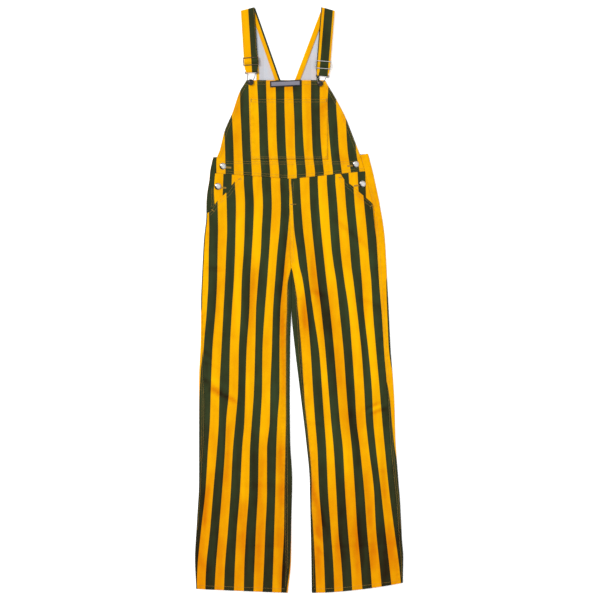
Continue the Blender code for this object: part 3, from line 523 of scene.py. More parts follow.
class Lie:
    """How a panel lies, the sum of its swells and creases, and the shade painted on it."""

    def __init__(self, creases: Sequence[Crease], side: Wearer = LEFT) -> None:
        """Note each crease's direction; the side sets where the painted shade towards the hems begins."""
        self.shade_from = FOOT_SHADE_FROM[side]
        self.creases = [(crease, cos(radians(crease.angle)), sin(radians(crease.angle)))
                        for crease in creases]

    def at(self, x: float, up: float) -> Pair:
        """Height, in millimetres, and painted shade at a point.

        Args:
            x: place across.
            up: height on the garment.

        Returns:
            The lift above the flat lie, and the painted shade: how much darker the colours are
            painted in troughs and towards the hems, and lighter on ridges.
        """
        lift = 0.0
        # Painted shade towards the hems; each trough adds painted shade and each ridge a painted highlight.
        painted_shade = FOOT_SHADE * ease(self.shade_from, FOOT_SHADE_FULL, up)
        for crease, c, s in self.creases:
            dx, dy = x - crease.x, up - crease.up
            run = (dx * c + dy * s) / crease.length
            across = (dy * c - dx * s) / crease.width + CREASE_BOW * run * run
            along = run * run
            spread_out = along + across * across
            if spread_out < 8:
                lift += crease.rise * exp(-spread_out)
            if crease.shade and along < 3 and abs(across) < 3:
                painted_shade += crease.shade / 100 * exp(-along * along - 0.8 * across * across)
        return lift, painted_shade

    def over(self, x: float, up: float, margin: float, loft: float, near: float) -> Pair:
        """Height and painted shade of a sewn panel, which lies flat at its edges.

        Args:
            x: place across.
            up: height on the garment.
            margin: distance from its nearest side edge.
            loft: how far its middle stands off the layer below.
            near: what the seams at its ends leave of both, from 0 to 1.

        Returns:
            The height above the layer below, and the painted shade.
        """
        lift, painted_shade = self.at(x, up)
        z = near * (loft * ease(0, LOFT_EDGE, margin) + lift * ease(0, CREASE_EDGE, margin))
        return max(DEEPEST, z), painted_shade


class Stripes:
    """One panel's printed stripes, as a smooth count across it."""

    def __init__(self, rows: Sequence[StripeRow]) -> None:
        """Draw one line for each colour change through all of the rows."""
        first = min(row.first for row in rows)
        last = max(row.first + len(row.edges) for row in rows)
        full = []
        for row in rows:
            below = [row.edges[0] - PITCH * i for i in range(row.first - first, 0, -1)]
            above = [row.edges[-1] + PITCH * (i + 1) for i in range(last - row.first - len(row.edges))]
            full.append((row.up, *below, *row.edges, *above))
        self.first = first
        self.lines = [Course(full, column) for column in range(1, last - first + 1)]

    def at(self, x: float, up: float) -> float:
        """The count at a point: whole numbers are the colour changes."""
        edges = [line.at(up) for line in self.lines]
        i = bisect_right(edges, x)
        if i == 0:
            return self.first + (x - edges[0]) / PITCH
        width = PITCH if i == len(edges) else edges[i] - edges[i - 1]
        return self.first + i - 1 + (x - edges[i - 1]) / width

    def knot(self, x: float, up: float, z: float, painted_shade: float = 0.0, sewn: float = 0.0) -> Knot:
        """A point of the cloth with its place in these stripes."""
        return Knot(x, up, z, self.at(x, up), up / PITCH, painted_shade, sewn)


# --- Shader building ---

Value = "Signal | float"


class Signal:
    """A shader value with Python's operators, each of which adds a Math node."""

    def __init__(self, desk: "Desk", socket: bpy.types.NodeSocket) -> None:
        """Wrap an output socket."""
        self.desk = desk
        self.socket = socket

    def math(self, operation: str, *others: Value) -> "Signal":
        """Apply a Math node to this value and the others."""
        sockets = dict(enumerate((self, *others)))
        return self.desk.value("ShaderNodeMath", {"operation": operation}, sockets)

    def __add__(self, other: Value) -> "Signal":
        """Sum."""
        return self.math("ADD", other)

    def __mul__(self, other: Value) -> "Signal":
        """Product."""
        return self.math("MULTIPLY", other)

    def __sub__(self, other: Value) -> "Signal":
        """Difference."""
        return self.math("SUBTRACT", other)

    def __rsub__(self, other: float) -> "Signal":
        """Difference from a number."""
        return self.desk.value("ShaderNodeMath", {"operation": "SUBTRACT"}, {0: other, 1: self})

    __radd__ = __add__
    __rmul__ = __mul__

    def wave(self) -> "Signal":
        """Sine, for a value in radians."""
        return self.math("SINE")

    def clamped(self) -> "Signal":
        """The value held between 0 and 1."""
        return self.math("MAXIMUM", 0.0).math("MINIMUM", 1)


class Desk:
    """The nodes of a material or a world, and the ways of adding to them."""

    def __init__(self, name: str, kind: str = "materials", shader: str = "Principled BSDF") -> None:
        """Start a material or a world."""
        self.owner = getattr(bpy.data, kind).new(name)
        self.owner.use_nodes = True
        self.tree = self.owner.node_tree
        self.shader = self.tree.nodes[shader]

    def node(self, kind: str, settings: dict | None = None, sockets: dict | None = None) -> bpy.types.Node:
        """Add any node.

        Args:
            kind: the node's type.
            settings: its own settings, set before its sockets.
            sockets: values or links of its inputs, by name or number.

        Returns:
            The node.
        """
        node = self.tree.nodes.new(kind)
        for key, value in (settings or {}).items():
            setattr(node, key, value)
        for key, value in (sockets or {}).items():
            self.feed(node.inputs[key], value)
        return node

    def feed(self, socket: bpy.types.NodeSocket, value: object) -> None:
        """Set a socket's value, or link a signal to it; a colour gets full alpha."""
        if isinstance(value, Signal):
            self.tree.links.new(value.socket, socket)
        else:
            socket.default_value = (*value, 1) if socket.type == 'RGBA' else value

    def value(self, kind: str, settings: dict | None = None, sockets: dict | None = None,
              output: int | str = 0) -> Signal:
        """Add a node and take one of its outputs."""
        return Signal(self, self.node(kind, settings, sockets).outputs[output])

    def blend(self, share: Value, one: object, two: object) -> Signal:
        """Mix two colours: all of the first at 0, all of the second at 1."""
        return self.value("ShaderNodeMix", {"data_type": "RGBA"}, {0: share, 6: one, 7: two}, 2)

    def parts(self, vector: Signal) -> list[Signal]:
        """The three numbers of a vector."""
        split = self.node("ShaderNodeSeparateXYZ", sockets={0: vector})
        return [Signal(self, output) for output in split.outputs]

    def cloth(self) -> list[Signal]:
        """The place in the weave: stripes across it and stripe widths along it."""
        return self.parts(self.value("ShaderNodeUVMap", {"uv_map": "cloth"}))[:2]

    def drawn(self, name: str) -> Signal:
        """A number that each point of the cloth carries."""
        return self.value("ShaderNodeAttribute", {"attribute_name": name}, output="Fac")

    def noise(self, scale: float, detail: float = 2, stretch: Vector | None = None) -> Signal:
        """Smooth noise over the object, from 0 to 1; stretch turns it into streaks."""
        where = self.value("ShaderNodeTexCoord", output="Object")
        if stretch is not None:
            where = self.value("ShaderNodeMapping", sockets={0: where, 3: stretch})
        return self.value("ShaderNodeTexNoise", sockets={
            "Vector": where, "Scale": scale, "Detail": detail, "Roughness": 0.55})

    def patches(self, scale: float, middle: float, steep: float) -> Signal:
        """Soft patches: 1 where the noise is above its middle, 0 below it."""
        return ((self.noise(scale) - middle) * steep).clamped()

    def finish(self, colour: Signal, roughness: Value, height: Signal | None = None,
               strength: float = 0.5, depth: float = 0.0003, **even: object) -> Finish:
        """Feed the shader.

        Args:
            colour: the base colour.
            roughness: the roughness.
            height: relief, in units of depth.
            strength: how strong the relief is.
            depth: how deep it is, in metres.
            even: the other inputs; an underscore in a name stands for a space.

        Returns:
            The material.
        """
        feeds = {"Base_Color": colour, "Roughness": roughness, **even}
        if height is not None:
            feeds["Normal"] = self.value("ShaderNodeBump", sockets={
                "Strength": strength, "Distance": depth, "Height": height})
        for name, value in feeds.items():
            self.feed(self.shader.inputs[name.replace("_", " ")], value)
        return self.owner


# --- Finishes ---

@dataclass(frozen=True)
class TwillFinish:
    """Heavy cotton twill, printed with stripes on its right side only."""
    gold: tuple = (1.0, 0.505, 0.0)
    # The deep colours take the painted shade of creases and hems, and the random deeper tone.
    gold_deep: tuple = (0.70, 0.19, 0.0)
    green: tuple = (0.041, 0.058, 0.022)
    green_deep: tuple = (0.018, 0.006, 0.002)
    inside: tuple = (0.66, 0.62, 0.64)
    inside_cool: tuple = (0.58, 0.63, 0.70)
    inside_warm: tuple = (0.72, 0.60, 0.56)
    wales: float = 17  # diagonal ribs across one stripe
    evenly_deep: float = 0.27  # how deep the colours look where the cloth lies flat
    edge: float = 9  # how sharply the colours meet

    def wale(self, stripe: Signal, warp: Signal) -> Signal:
        """The diagonal rib of the weave, from 0 to 1."""
        return ((stripe + warp * 0.9) * (tau * self.wales)).wave() * 0.5 + 0.5

    def is_green(self, stripe: Signal) -> Signal:
        """1 on a green stripe and 0 on a gold one."""
        return (0.5 - (stripe * pi).wave() * self.edge).clamped()

    def right_side(self) -> Finish:
        """The printed side: painted shade in creases and at the hems, random deeper clouds and streaks."""
        desk = Desk("striped_twill")
        stripe, warp = desk.cloth()
        wale = self.wale(stripe, warp)
        green = self.is_green(stripe + (wale - 0.5) * 0.012)
        clouds = desk.noise(9, 3) - 0.5
        streaks = desk.noise(55, 2, Vector((1, 0.12, 1))) - 0.5
        crumple = desk.noise(48, 3, Vector((1, 0.7, 1))) - 0.5
        fuzz = desk.noise(900, 1)
        pucker = desk.drawn("sewn") * (desk.noise(115, 1) - 0.5)
        # Painted shade of creases and hems from each point's painted shade, plus random clouds, streaks and
        # crumples.
        deep = desk.drawn("painted_shade") + self.evenly_deep + clouds * 0.5 + streaks * 0.7 - crumple * 0.4
        deep = deep.clamped()
        colour = desk.blend(green, desk.blend(deep, self.gold, self.gold_deep),
                            desk.blend(deep, self.green, self.green_deep))
        # Darker wale ribs and random fuzz; near seams the puckers also get painted shade and highlight.
        dark = (1 - wale) * 0.10 + (fuzz - 0.5) * 0.16 - pucker * 0.35
        relief = wale * 0.6 + fuzz * 0.4 + pucker * 5 + crumple * 6
        return desk.finish(desk.blend(dark.clamped(), colour, BLACK), 0.80 + (fuzz - 0.5) * 0.2,
                           relief, Sheen_Weight=0.004, Sheen_Roughness=0.5, Specular_IOR_Level=0.03)

    def wrong_side(self) -> Finish:
        """The unprinted side, with a turned edge of the printed one along the armholes."""
        desk = Desk("twill_inside")
        stripe, warp = desk.cloth()
        wale = self.wale(stripe, warp)
        tint = desk.blend(desk.patches(14, 0.42, 4), self.inside_cool, self.inside)
        tint = desk.blend(desk.patches(21, 0.5, 4), tint, self.inside_warm)
        print_through = desk.blend(self.is_green(stripe) * 0.08, tint, self.green)
        turned = desk.drawn("turned")
        edge = desk.blend((0.5 - turned * self.edge).clamped(), self.gold, self.green)
        hem = (turned.math("ABSOLUTE") * 20 - 9.5).clamped()
        shade = desk.blend((1.0 - wale) * 0.12, desk.blend(hem, print_through, edge), BLACK)
        return desk.finish(shade, 0.86 + (wale - 0.5) * 0.1, wale, 0.4,
                           Sheen_Weight=0.06, Specular_IOR_Level=0.25)


@dataclass(frozen=True)
class ThreadFinish:
    """Sewing thread: two plies wound on each other."""
    name: str
    colour: tuple
    dark: tuple

    def make(self) -> Finish:
        """Build the material."""
        desk = Desk(self.name)
        ply = desk.noise(1600, 1)
        colour = desk.blend(desk.patches(60, 0.4, 2.2), self.dark, self.colour)
        return desk.finish(colour, 0.5 + ply * 0.2, ply, 0.5, 0.0002, Sheen_Weight=0.2)


@dataclass(frozen=True)
class MetalFinish:
    """Plated metal with handling marks, painted darker on the side turned away from the light."""
    name: str
    colour: tuple
    worn: tuple
    roughness: float
    metallic: float = 1
    shadowed: tuple = (0.035, 0.025, 0.020)  # painted shade: the dark colour painted on the side away from the light
    lit_from: tuple = (0.50, 0.22, 0.84)

    def make(self) -> Finish:
        """Build the material."""
        desk = Desk(self.name)
        marks = desk.noise(420, 4)
        colour = desk.blend(desk.patches(130, 0.4, 3), self.colour, self.worn)
        # Painted shade: where the surface faces away from lit_from it is painted the shadowed colour.
        facing = desk.value("ShaderNodeVectorMath", {"operation": "DOT_PRODUCT"}, {
            0: desk.value("ShaderNodeNewGeometry", output="Normal"), 1: self.lit_from}, "Value")
        colour = desk.blend(((facing - 0.60) * 5).clamped(), self.shadowed, colour)
        return desk.finish(colour, self.roughness + (marks - 0.5) * 0.18, marks, 0.12, 0.0001,
                           Metallic=self.metallic)


@dataclass(frozen=True)
class LabelFinish:
    """A damask label: a grey field in a black border, both of fine ribs."""
    field_grey: tuple = (0.24, 0.23, 0.29)
    field_dark: tuple = (0.12, 0.12, 0.16)
    border: tuple = (0.008, 0.007, 0.010)
    ribs: float = 34

    def make(self) -> Finish:
        """Build the material; the UV map runs from 0 to 1 inside the border."""
        desk = Desk("label_damask")
        u, v = desk.cloth()
        inside_u, inside_v = (0.5 - (way - 0.5).math("ABSOLUTE") for way in (u, v))
        grey = (inside_u * 160).clamped() * (inside_v * 60).clamped()
        rib = (v * (tau * self.ribs)).wave() * 0.5 + 0.5
        pick = (u * (tau * self.ribs * 4)).wave() * 0.5 + 0.5
        thread = desk.blend(rib * 0.35 + pick * 0.15, self.field_grey, self.field_dark)
        return desk.finish(desk.blend(grey, self.border, thread), 0.62 + rib * 0.15,
                           rib * 0.6 + pick * 0.4, 0.5, 0.0002, Sheen_Weight=0.15)


class Finishes:
    """Every finish, made once."""

    def __init__(self) -> None:
        """Make the materials."""
        self.twill, self.inside = TwillFinish().right_side(), TwillFinish().wrong_side()
        self.thread = ThreadFinish("gold_thread", (0.58, 0.32, 0.025), (0.36, 0.19, 0.013)).make()
        self.black_thread = ThreadFinish("black_thread", (0.02, 0.018, 0.02), (0.01, 0.01, 0.012)).make()
        # The third metal is a darker copy of the bright nickel: a painted dark reflection for one slider.
        self.nickel, self.steel, self.tarnished, self.gunmetal = (MetalFinish(*values).make() for values in (
            ("bright_nickel", (0.86, 0.85, 0.83), (0.66, 0.64, 0.61), 0.20),
            ("dull_steel_wire", (0.34, 0.32, 0.30), (0.13, 0.11, 0.10), 0.30),
            ("tarnished_nickel", (0.20, 0.15, 0.09), (0.08, 0.06, 0.04), 0.34),
            ("dark_gunmetal", (0.07, 0.06, 0.055), (0.022, 0.018, 0.016), 0.30, 0.9)))
        self.damask = LabelFinish().make()


# --- Making pieces ---

def new_object(name: str, data: bpy.types.ID) -> Piece:
    """An object in the scene, unturned at the origin."""
    thing = bpy.data.objects.new(name, data)
    bpy.context.scene.collection.objects.link(thing)
    return thing


def add_piece(name: str, work: bmesh.types.BMesh, finishes: Sequence[Finish], stock: Stock,
              node: str | None = None, sharp: float = 50) -> Piece:
    """Turn a bmesh into a piece that rides on the garment.

    Args:
        name: the piece's name.
        work: its mesh, which is used up.
        finishes: its materials, in the order of its slots.
        stock: not used.
        node: the solid that it stands for, if any.
        sharp: the angle, in degrees, past which an edge is sharp.

    Returns:
        The piece.
    """
    mesh = bpy.data.meshes.new(name)
    work.to_mesh(mesh)
    work.free()
    for finish in finishes:
        mesh.materials.append(finish)
    mesh.shade_smooth()
    mesh.set_sharp_from_angle(angle=radians(sharp))
    piece = new_object(name, mesh)
    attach(piece, "root")
    if node:
        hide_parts(node)
    log.info("%s: %d faces", name, len(mesh.polygons))
    return piece


def cell(point: Vector, lines: int, columns: int) -> Pair:
    """Row and column of a point of a new grid, one metre square."""
    return (point.y + 0.5) * lines, (point.x + 0.5) * columns


def modify(piece: Piece, kind: str, **settings: object) -> None:
    """Give a piece a modifier."""
    modifier = piece.modifiers.new(kind.title(), kind)
    for key, value in settings.items():
        setattr(modifier, key, value)


def wire_piece(name: str, lines: Sequence[Sequence[Vector]], radius: float, finish: Finish,
               stock: Stock, node: str | None, closed: bool = True, sides: int = 3,
               weights: Sequence[float] | None = None) -> Piece:
    """Round wires or threads along lines, as one mesh.

    Args:
        name: the piece's name.
        lines: middle lines, in metres.
        radius: the wire's radius, in millimetres.
        finish: its material.
        stock: not used.
        node: the solid that it stands for, if any.
        closed: whether each line joins its own start.
        sides: the curve's bevel resolution.
        weights: the radius at each point of a line, as a share of it.

    Returns:
        The piece.
    """
    curve = bpy.data.curves.new(name, 'CURVE')
    curve.dimensions = '3D'
    curve.bevel_depth = radius * MM
    curve.bevel_resolution = sides
    curve.use_fill_caps = not closed
    for line in lines:
        spline = curve.splines.new('POLY')
        spline.points.add(len(line) - 1)
        for target, point, weight in zip(spline.points, line, weights or [1] * len(line)):
            target.co = (*point, 1)
            target.radius = weight
        spline.use_cyclic_u = closed
    guide = new_object(name + "_line", curve)
    bpy.context.view_layer.update()
    mesh = bpy.data.meshes.new_from_object(guide)
    bpy.data.objects.remove(guide, do_unlink=True)
    work = bmesh.new()
    work.from_mesh(mesh)
    bpy.data.meshes.remove(mesh)
    return add_piece(name, work, [finish], stock, node, 60)


def turned_piece(name: str, profile: Sequence[Pair], centre: Vector,
                 finish: Finish, stock: Stock, node: str, steps: int = 48) -> Piece:
    """A solid of revolution about a vertical axis.

    Args:
        name: the piece's name.
        profile: pairs of radius and height, in millimetres.
        centre: the axis in the chart.
        finish: its material.
        stock: not used.
        node: the solid that it stands for.
        steps: how many flats it has.

    Returns:
        The piece.
    """
    work = bmesh.new()
    ring = [work.verts.new(place(centre.x + radius, centre.y, z)) for radius, z in profile]
    edges = [work.edges.new(pair) for pair in zip(ring, ring[1:])]
    bmesh.ops.spin(work, geom=ring + edges, cent=place(centre.x, centre.y, 0), axis=(0, 0, 1),
                   angle=tau, steps=steps, use_merge=True)
    bmesh.ops.remove_doubles(work, verts=work.verts, dist=0.00001)
    bmesh.ops.recalc_face_normals(work, faces=work.faces)
    return add_piece(name, work, [finish], stock, node, 40)


@dataclass
class Panel:
    """One cut piece of cloth and what it is laid on."""
    name: str
    node: str
    stock: Stock
    cut: Pair  # width and length of the flat cut, millimetres
    rests_on: tuple[str, ...] = ()
    wall: float = CLOTH
    inside_out: bool = True  # whether its hidden face is the unprinted side

    def make(self, rows: Sequence[Sequence[Knot]], finishes: Finishes,
             keep: Callable[[int, int], bool] | None = None, outer: Finish | None = None) -> Piece:
        """Lay the grid and give it its wall.

        Args:
            rows: knots of the outer face; seen from outside, columns run right as rows run up.
            finishes: the garment's finishes.
            keep: tells which cells, by row and column, have cloth.
            outer: the outer face's material, if not the striped twill.

        Returns:
            The piece.
        """
        work = bmesh.new()
        columns, lines = len(rows[0]) - 1, len(rows) - 1
        bmesh.ops.create_grid(work, x_segments=columns, y_segments=lines, size=0.5)
        weave = work.loops.layers.uv.new("cloth")
        drawn = {name: work.verts.layers.float.new(name) for name in ("painted_shade", "turned", "sewn")}
        bare = [face for face in work.faces
                if keep and not keep(*map(int, cell(face.calc_center_median(), lines, columns)))]
        for vert in work.verts:
            row, column = map(round, cell(vert.co, lines, columns))
            knot = rows[row][column]
            vert.co = place(knot.x, knot.up, knot.z)
            for name, layer in drawn.items():
                vert[layer] = getattr(knot, name)
            for loop in vert.link_loops:
                loop[weave].uv = (knot.stripe, knot.warp)
        bmesh.ops.delete(work, geom=bare, context='FACES')
        work.normal_update()
        area = sum(face.calc_area() for face in work.faces)
        materials = [outer or finishes.twill, finishes.inside][:1 + self.inside_out]
        piece = add_piece(self.name, work, materials, self.stock, self.node)
        modify(piece, 'SOLIDIFY', thickness=self.wall * MM, offset=-1, use_even_offset=True,
               material_offset=int(self.inside_out))
        width, length = self.cut
        width * MM
        length * MM
        list(self.rests_on)
        min(area, width * length * MM * MM)
        return piece


# --- The back ---

@dataclass
class BackHalf:
    """One half of the back: a flat C in section below, a single layer at its tip."""
    side: Wearer
    wrap_cells: int = 7
    roll_cells: int = 8
    flat_cells: int = 26
    stripes_under: int = 10  # colour changes from roll to roll
    run_out: float = 6  # the wrap's stripes run into the underside's over this
    seam_pucker: float = 0.8
    armhole_hem: float = 7
    gold_hem_from: float = 1200  # the right armhole's hem falls on gold above this
    corner_lift: float = 4  # how far the left opening's corner is drawn up
    corner: tuple = (1046, 150, 19)  # and its height, place across and width

    def __post_init__(self) -> None:
        """Draw the half's lines."""
        side = self.side
        self.sign = side.value
        self.outer, self.outer_wrap = Course(BACK_SIDE[side]), Course(BACK_SIDE[side], 2)
        self.inseam, self.inseam_wrap = Course(BACK_INSEAM[side]), Course(BACK_INSEAM[side], 2)
        self.armhole, self.wrap_stripe, self.side_stripe, self.inseam_stripe = (Course(rows[side])
            for rows in (ARMHOLE, BACK_WRAP_STRIPE, BACK_SIDE_STRIPE, BACK_INSEAM_STRIPE))
        self.opening = BACK_SIDE[side][-1].up
        # No creases: it only gives the back its painted shade towards the hems.
        self.lie = Lie((), side)
        seat = abs(self.outer.at(CROTCH) - self.inseam.at(CROTCH)) + (pi - 2) * ROLL
        self.seat_pitch = self.pitch_of(CROTCH, seat)

    def neck(self, up: float) -> float:
        """Place across of the V's finished edge."""
        return straight((NECK_POINT, NECK_TOP[self.side]), up)

    def side_seam(self, up: float) -> float:
        """Place across of the back's edge on the front of the garment."""
        return self.outer.at(up) - self.sign * self.outer_wrap.at(up)

    def inner_seam(self, up: float) -> float:
        """Place across of the inseam on the front of the garment."""
        return self.inseam.at(up) + self.sign * self.inseam_wrap.at(up)

    def inner_edge(self, up: float) -> float:
        """Inner edge above the crotch: the centre seam, then the V."""
        if up <= NECK_POINT.up:
            return straight(BACK_SEAM, up) + self.sign * ABUT / 2
        return self.neck(up) + self.sign * (LAYER + SEAM)

    def tip_rise(self, x: float, up: float) -> float:
        """How much a row rises near the tip, which is square to the strap."""
        below, top = ARMHOLE[self.side][-2:]
        strap = STRAPS[self.side]
        return ease(below.up, top.up, up) * strap.skew * (x - strap.fold.x)

    def rolled(self, edge: float, wrap: float, way: int, thick: float) -> list[Pair]:
        """Section points from a wrap's free edge round the rolled edge to the underside.

        Args:
            edge: outermost place of the roll.
            wrap: reach of the wrap on to the front.
            way: sign of X towards the roll.
            thick: what the hem adds to the wrap's top.

        Returns:
            Pairs of place across and height.
        """
        turn, free, top = edge - way * ROLL, edge - way * wrap, FLAT + thick
        points = []
        for i in range(self.wrap_cells):
            x = free + (turn - free) * (i / self.wrap_cells) ** 1.6
            points.append((x, top - edge_drop(abs(x - free))))
        for i in range(self.roll_cells + 1):
            angle = pi / 2 - pi * i / self.roll_cells
            z = ROLL + ROLL * sin(angle)
            points.append((turn + way * ROLL * cos(angle), z * top / FLAT))
        return points

    def pitch_of(self, up: float, length: float) -> float:
        """Width of a stripe under a leg, whose cloth has this length from roll to roll."""
        return (length - self.inseam_stripe.at(up) - self.side_stripe.at(up)) / self.stripes_under

    def stripe_of(self, up: float, distance: float, length: float, x: float) -> float:
        """Count of stripes at a point of the cloth.

        Args:
            up: height on the garment.
            distance: how far along the cloth past the side's rolled edge.
            length: the cloth's length from roll to roll.
            x: place across, which counts for the stripes of the seat.

        Returns:
            The count; whole numbers are the colour changes.
        """
        if up <= CROTCH:
            pitch = self.pitch_of(up, length)
            under = (distance - self.side_stripe.at(up)) / pitch
        else:
            pitch = self.seat_pitch
            past = (self.outer.at(CROTCH) - x) * self.sign + ROLL * (pi / 2 - 1)
            under = (past - self.side_stripe.at(CROTCH)) / pitch
        wrap = (distance - self.wrap_stripe.at(up)) / pitch
        return 1 + wrap + (under - wrap) * ease(0, self.run_out, distance)

    def turned(self, x: float, up: float) -> float:
        """The armhole's narrow hem shows the printed side: 1 where gold, -1 where green."""
        if up <= self.opening - 3:
            return 0.0
        gold = self.side is RIGHT and up > self.gold_hem_from
        return hemmed(self.armhole_hem, (self.armhole.at(up) - x) * self.sign) * (1 if gold else -1)

    def row(self, up: float) -> list[Knot]:
        """The outside of the cloth at one height, from the side wrap to the inner one."""
        thick = HEM_STEP * hemmed(HEM, up)
        below_opening = up <= self.opening
        outer = self.outer.at(up) if below_opening else self.armhole.at(up)
        wrap = self.outer_wrap.at(up) if below_opening else 2 * ROLL
        start = self.rolled(outer, wrap, self.sign, thick)
        if up < CLOSED:
            sunk = CLOTH * ease(CROTCH, CROTCH + 5, up)
            end = self.rolled(self.inseam.at(up), self.inseam_wrap.at(up), -self.sign, thick - sunk)
        else:
            inner = self.inner_edge(up + self.tip_rise(self.inner_edge(up), up))
            end = self.rolled(inner - self.sign * ROLL, 2 * ROLL, -self.sign, 0)
        end.reverse()
        if not below_opening:
            start[-1] = (outer, 0.0)
        low, high = start[-1][0], end[0][0]
        flat = [(low + (high - low) * i / self.flat_cells, 0.0) for i in range(1, self.flat_cells)]
        section = start + flat + end
        travelled = [0.0]
        for one, two in zip(section, section[1:]):
            travelled.append(travelled[-1] + dist(one, two))
        anchor = len(start) - 1 - self.roll_cells // 2
        length = travelled[-1 - anchor] - travelled[anchor]
        past = travelled[anchor] - (0 if below_opening else self.run_out)
        drop = edge_drop(up)
        lift_from, corner_x, corner_width = self.corner
        knots = []
        for (x, z), distance in zip(section, travelled):
            rise = hem_rise(self.side, x, up) + self.tip_rise(x, up)
            if self.side is LEFT and below_opening:
                rise += self.corner_lift * ease(lift_from, self.opening, up) * max(
                    0.0, (x - corner_x) / corner_width)
            knots.append(Knot(x, up + rise, z - (drop if z > ROLL else 0.0),
                self.stripe_of(up, distance - past, length, x), (up + rise) / PITCH,
                self.lie.at(x, up)[1], self.seam_pucker * ease(ROLL, FLAT, z), self.turned(x, up + rise)))
        return knots[::self.sign]

    def make(self, finishes: Finishes) -> Piece:
        """Make the half as one wall from hem to strap."""
        seat = heights([CLOSED] + [row.up for row in BACK_SIDE[self.side] if row.up > CLOSED])
        tip = heights([row.up for row in ARMHOLE[self.side]])
        levels = LEG_LEVELS + [CROTCH + 3, CROTCH + 5.5, CLOSED - 0.5] + seat + tip
        rows = [self.row(up) for up in levels]
        count, curl = len(rows[0]), self.wrap_cells + self.roll_cells

        def keep(row: int, column: int) -> bool:
            """Tell whether a cell has cloth: wraps end at the side opening and the crotch."""
            from_side = column if self.sign > 0 else count - 2 - column
            if from_side < curl:
                return levels[row + 1] <= self.opening
            return from_side < count - 1 - curl or levels[row + 1] < CLOSED

        word = self.side.word
        panel = Panel(f"{word}_back_panel", f"back_{word}", Stock.GREEN, (252, 1436))
        return panel.make(rows, finishes, keep)


# --- Trouser fronts and pocket bearers ---

@dataclass
class Front:
    """One trouser front, from hem to waist seam, with its scooped pocket edge."""
    back: BackHalf
    from_outer: tuple[float, ...] = (0, 0.6, 1.4, 3.5, 7, 10.5, 14, 18, 22, 27, 33, 40)
    from_inner: tuple[float, ...] = (0, 0.6, 1.4, 4, 8)
    middle_cells: int = 40
    narrow: float = 60  # the cells bunch up where the panel is narrower
    bearer_from: float = 70  # this far below the scoop it starts to climb the bearer
    bearer_full: float = 4
    waist_ease: float = 90  # this far below the waist seam rows start to follow it

    def __post_init__(self) -> None:
        """Draw the panel's lines."""
        self.side, self.sign = self.back.side, self.back.sign
        self.scoop = Course(SCOOP[self.side])
        self.scoop_foot, self.top_level = SCOOP[self.side][0].up, SCOOP[self.side][-1].up
        self.seam = Course(FRONT_SEAM)
        self.stripes = Stripes(FRONT_STRIPES[self.side])
        self.lie = Lie(SWELLS + FRONT_CREASES[self.side], self.side)

    def outer(self, up: float) -> float:
        """Outer edge: the side seam, then the scoop of the pocket."""
        if up >= self.scoop_foot:
            return self.scoop.at(up)
        return self.back.side_seam(up) - self.sign * ABUT

    def inner(self, up: float) -> float:
        """Inner edge: the inseam, then the centre front seam."""
        if up <= CROTCH:
            return self.back.inner_seam(up) + self.sign * ABUT
        seam = self.seam.at(up) + self.sign * ABUT / 2
        blend = ease(CROTCH, CLOSED, up)
        return self.inner(CROTCH) * (1 - blend) + seam * blend

    def face(self, x: float, up: float, from_outer: float, from_inner: float) -> Pair:
        """Height and painted shade of the upper face.

        Args:
            x: place across.
            up: height on the garment.
            from_outer: distance from the outer edge.
            from_inner: distance from the inner edge.

        Returns:
            The height of the face and its painted shade.
        """
        near_seam = ease(0, SEAM_FLAT, waist_at(x) - up)
        z, painted_shade = self.lie.over(x, up, min(from_outer, from_inner), LOFT, near_seam)
        on_bearer = ease(self.scoop_foot - self.bearer_from, self.scoop_foot - self.bearer_full, up)
        z += LAYER * on_bearer * ease(POCKET_LAP + POCKET_SLOPE, POCKET_LAP, from_outer)
        return FLAT + z + HEM_STEP * hemmed(HEM, up - hem_rise(self.side, x, 0)), painted_shade

    def surface(self, x: float, up: float) -> float:
        """Height of the upper face at a point of the panel."""
        return self.face(x, up, abs(x - self.outer(up)), abs(x - self.inner(up)))[0]

    def row(self, up: float) -> list[Knot]:
        """One row across the panel; the topmost follows the waist seam."""
        outer, inner = self.outer(up), self.inner(up)
        width = abs(outer - inner)
        squeeze = min(1, width / self.narrow)
        near_waist = ease(self.top_level - self.waist_ease, self.top_level, up)
        knots = []
        for distance in spread(0, width, self.middle_cells, [d * squeeze for d in self.from_outer],
                               [d * squeeze for d in self.from_inner]):
            x = outer - self.sign * distance
            margin = min(distance, width - distance)
            rise = hem_rise(self.side, x, up)
            rise += near_waist * (waist_at(x) - ABUT / 2 - self.top_level)
            z, painted_shade = self.face(x, up + rise, distance, width - distance)
            sewn = puckered(min(margin, up + 3, waist_at(x) - up - rise + 3))
            knots.append(self.stripes.knot(x, up + rise, z - edge_drop(min(margin, up)), painted_shade, sewn))
        return knots[::-self.sign]

    def make(self, finishes: Finishes) -> Piece:
        """Make the panel, with rows at every point of the scoop."""
        side, word = self.side, self.side.word
        seat = [row.up for row in BACK_SIDE[side] if CLOSED < row.up < self.scoop_foot]
        levels = LEG_LEVELS + heights([CLOSED] + seat) + heights([row.up for row in SCOOP[side]])
        panel = Panel(f"{word}_front_panel", f"front_{word}", Stock.GOLD, (256, 1042),
                      (f"{word}_back_panel",))
        return panel.make([self.row(up) for up in levels], finishes)


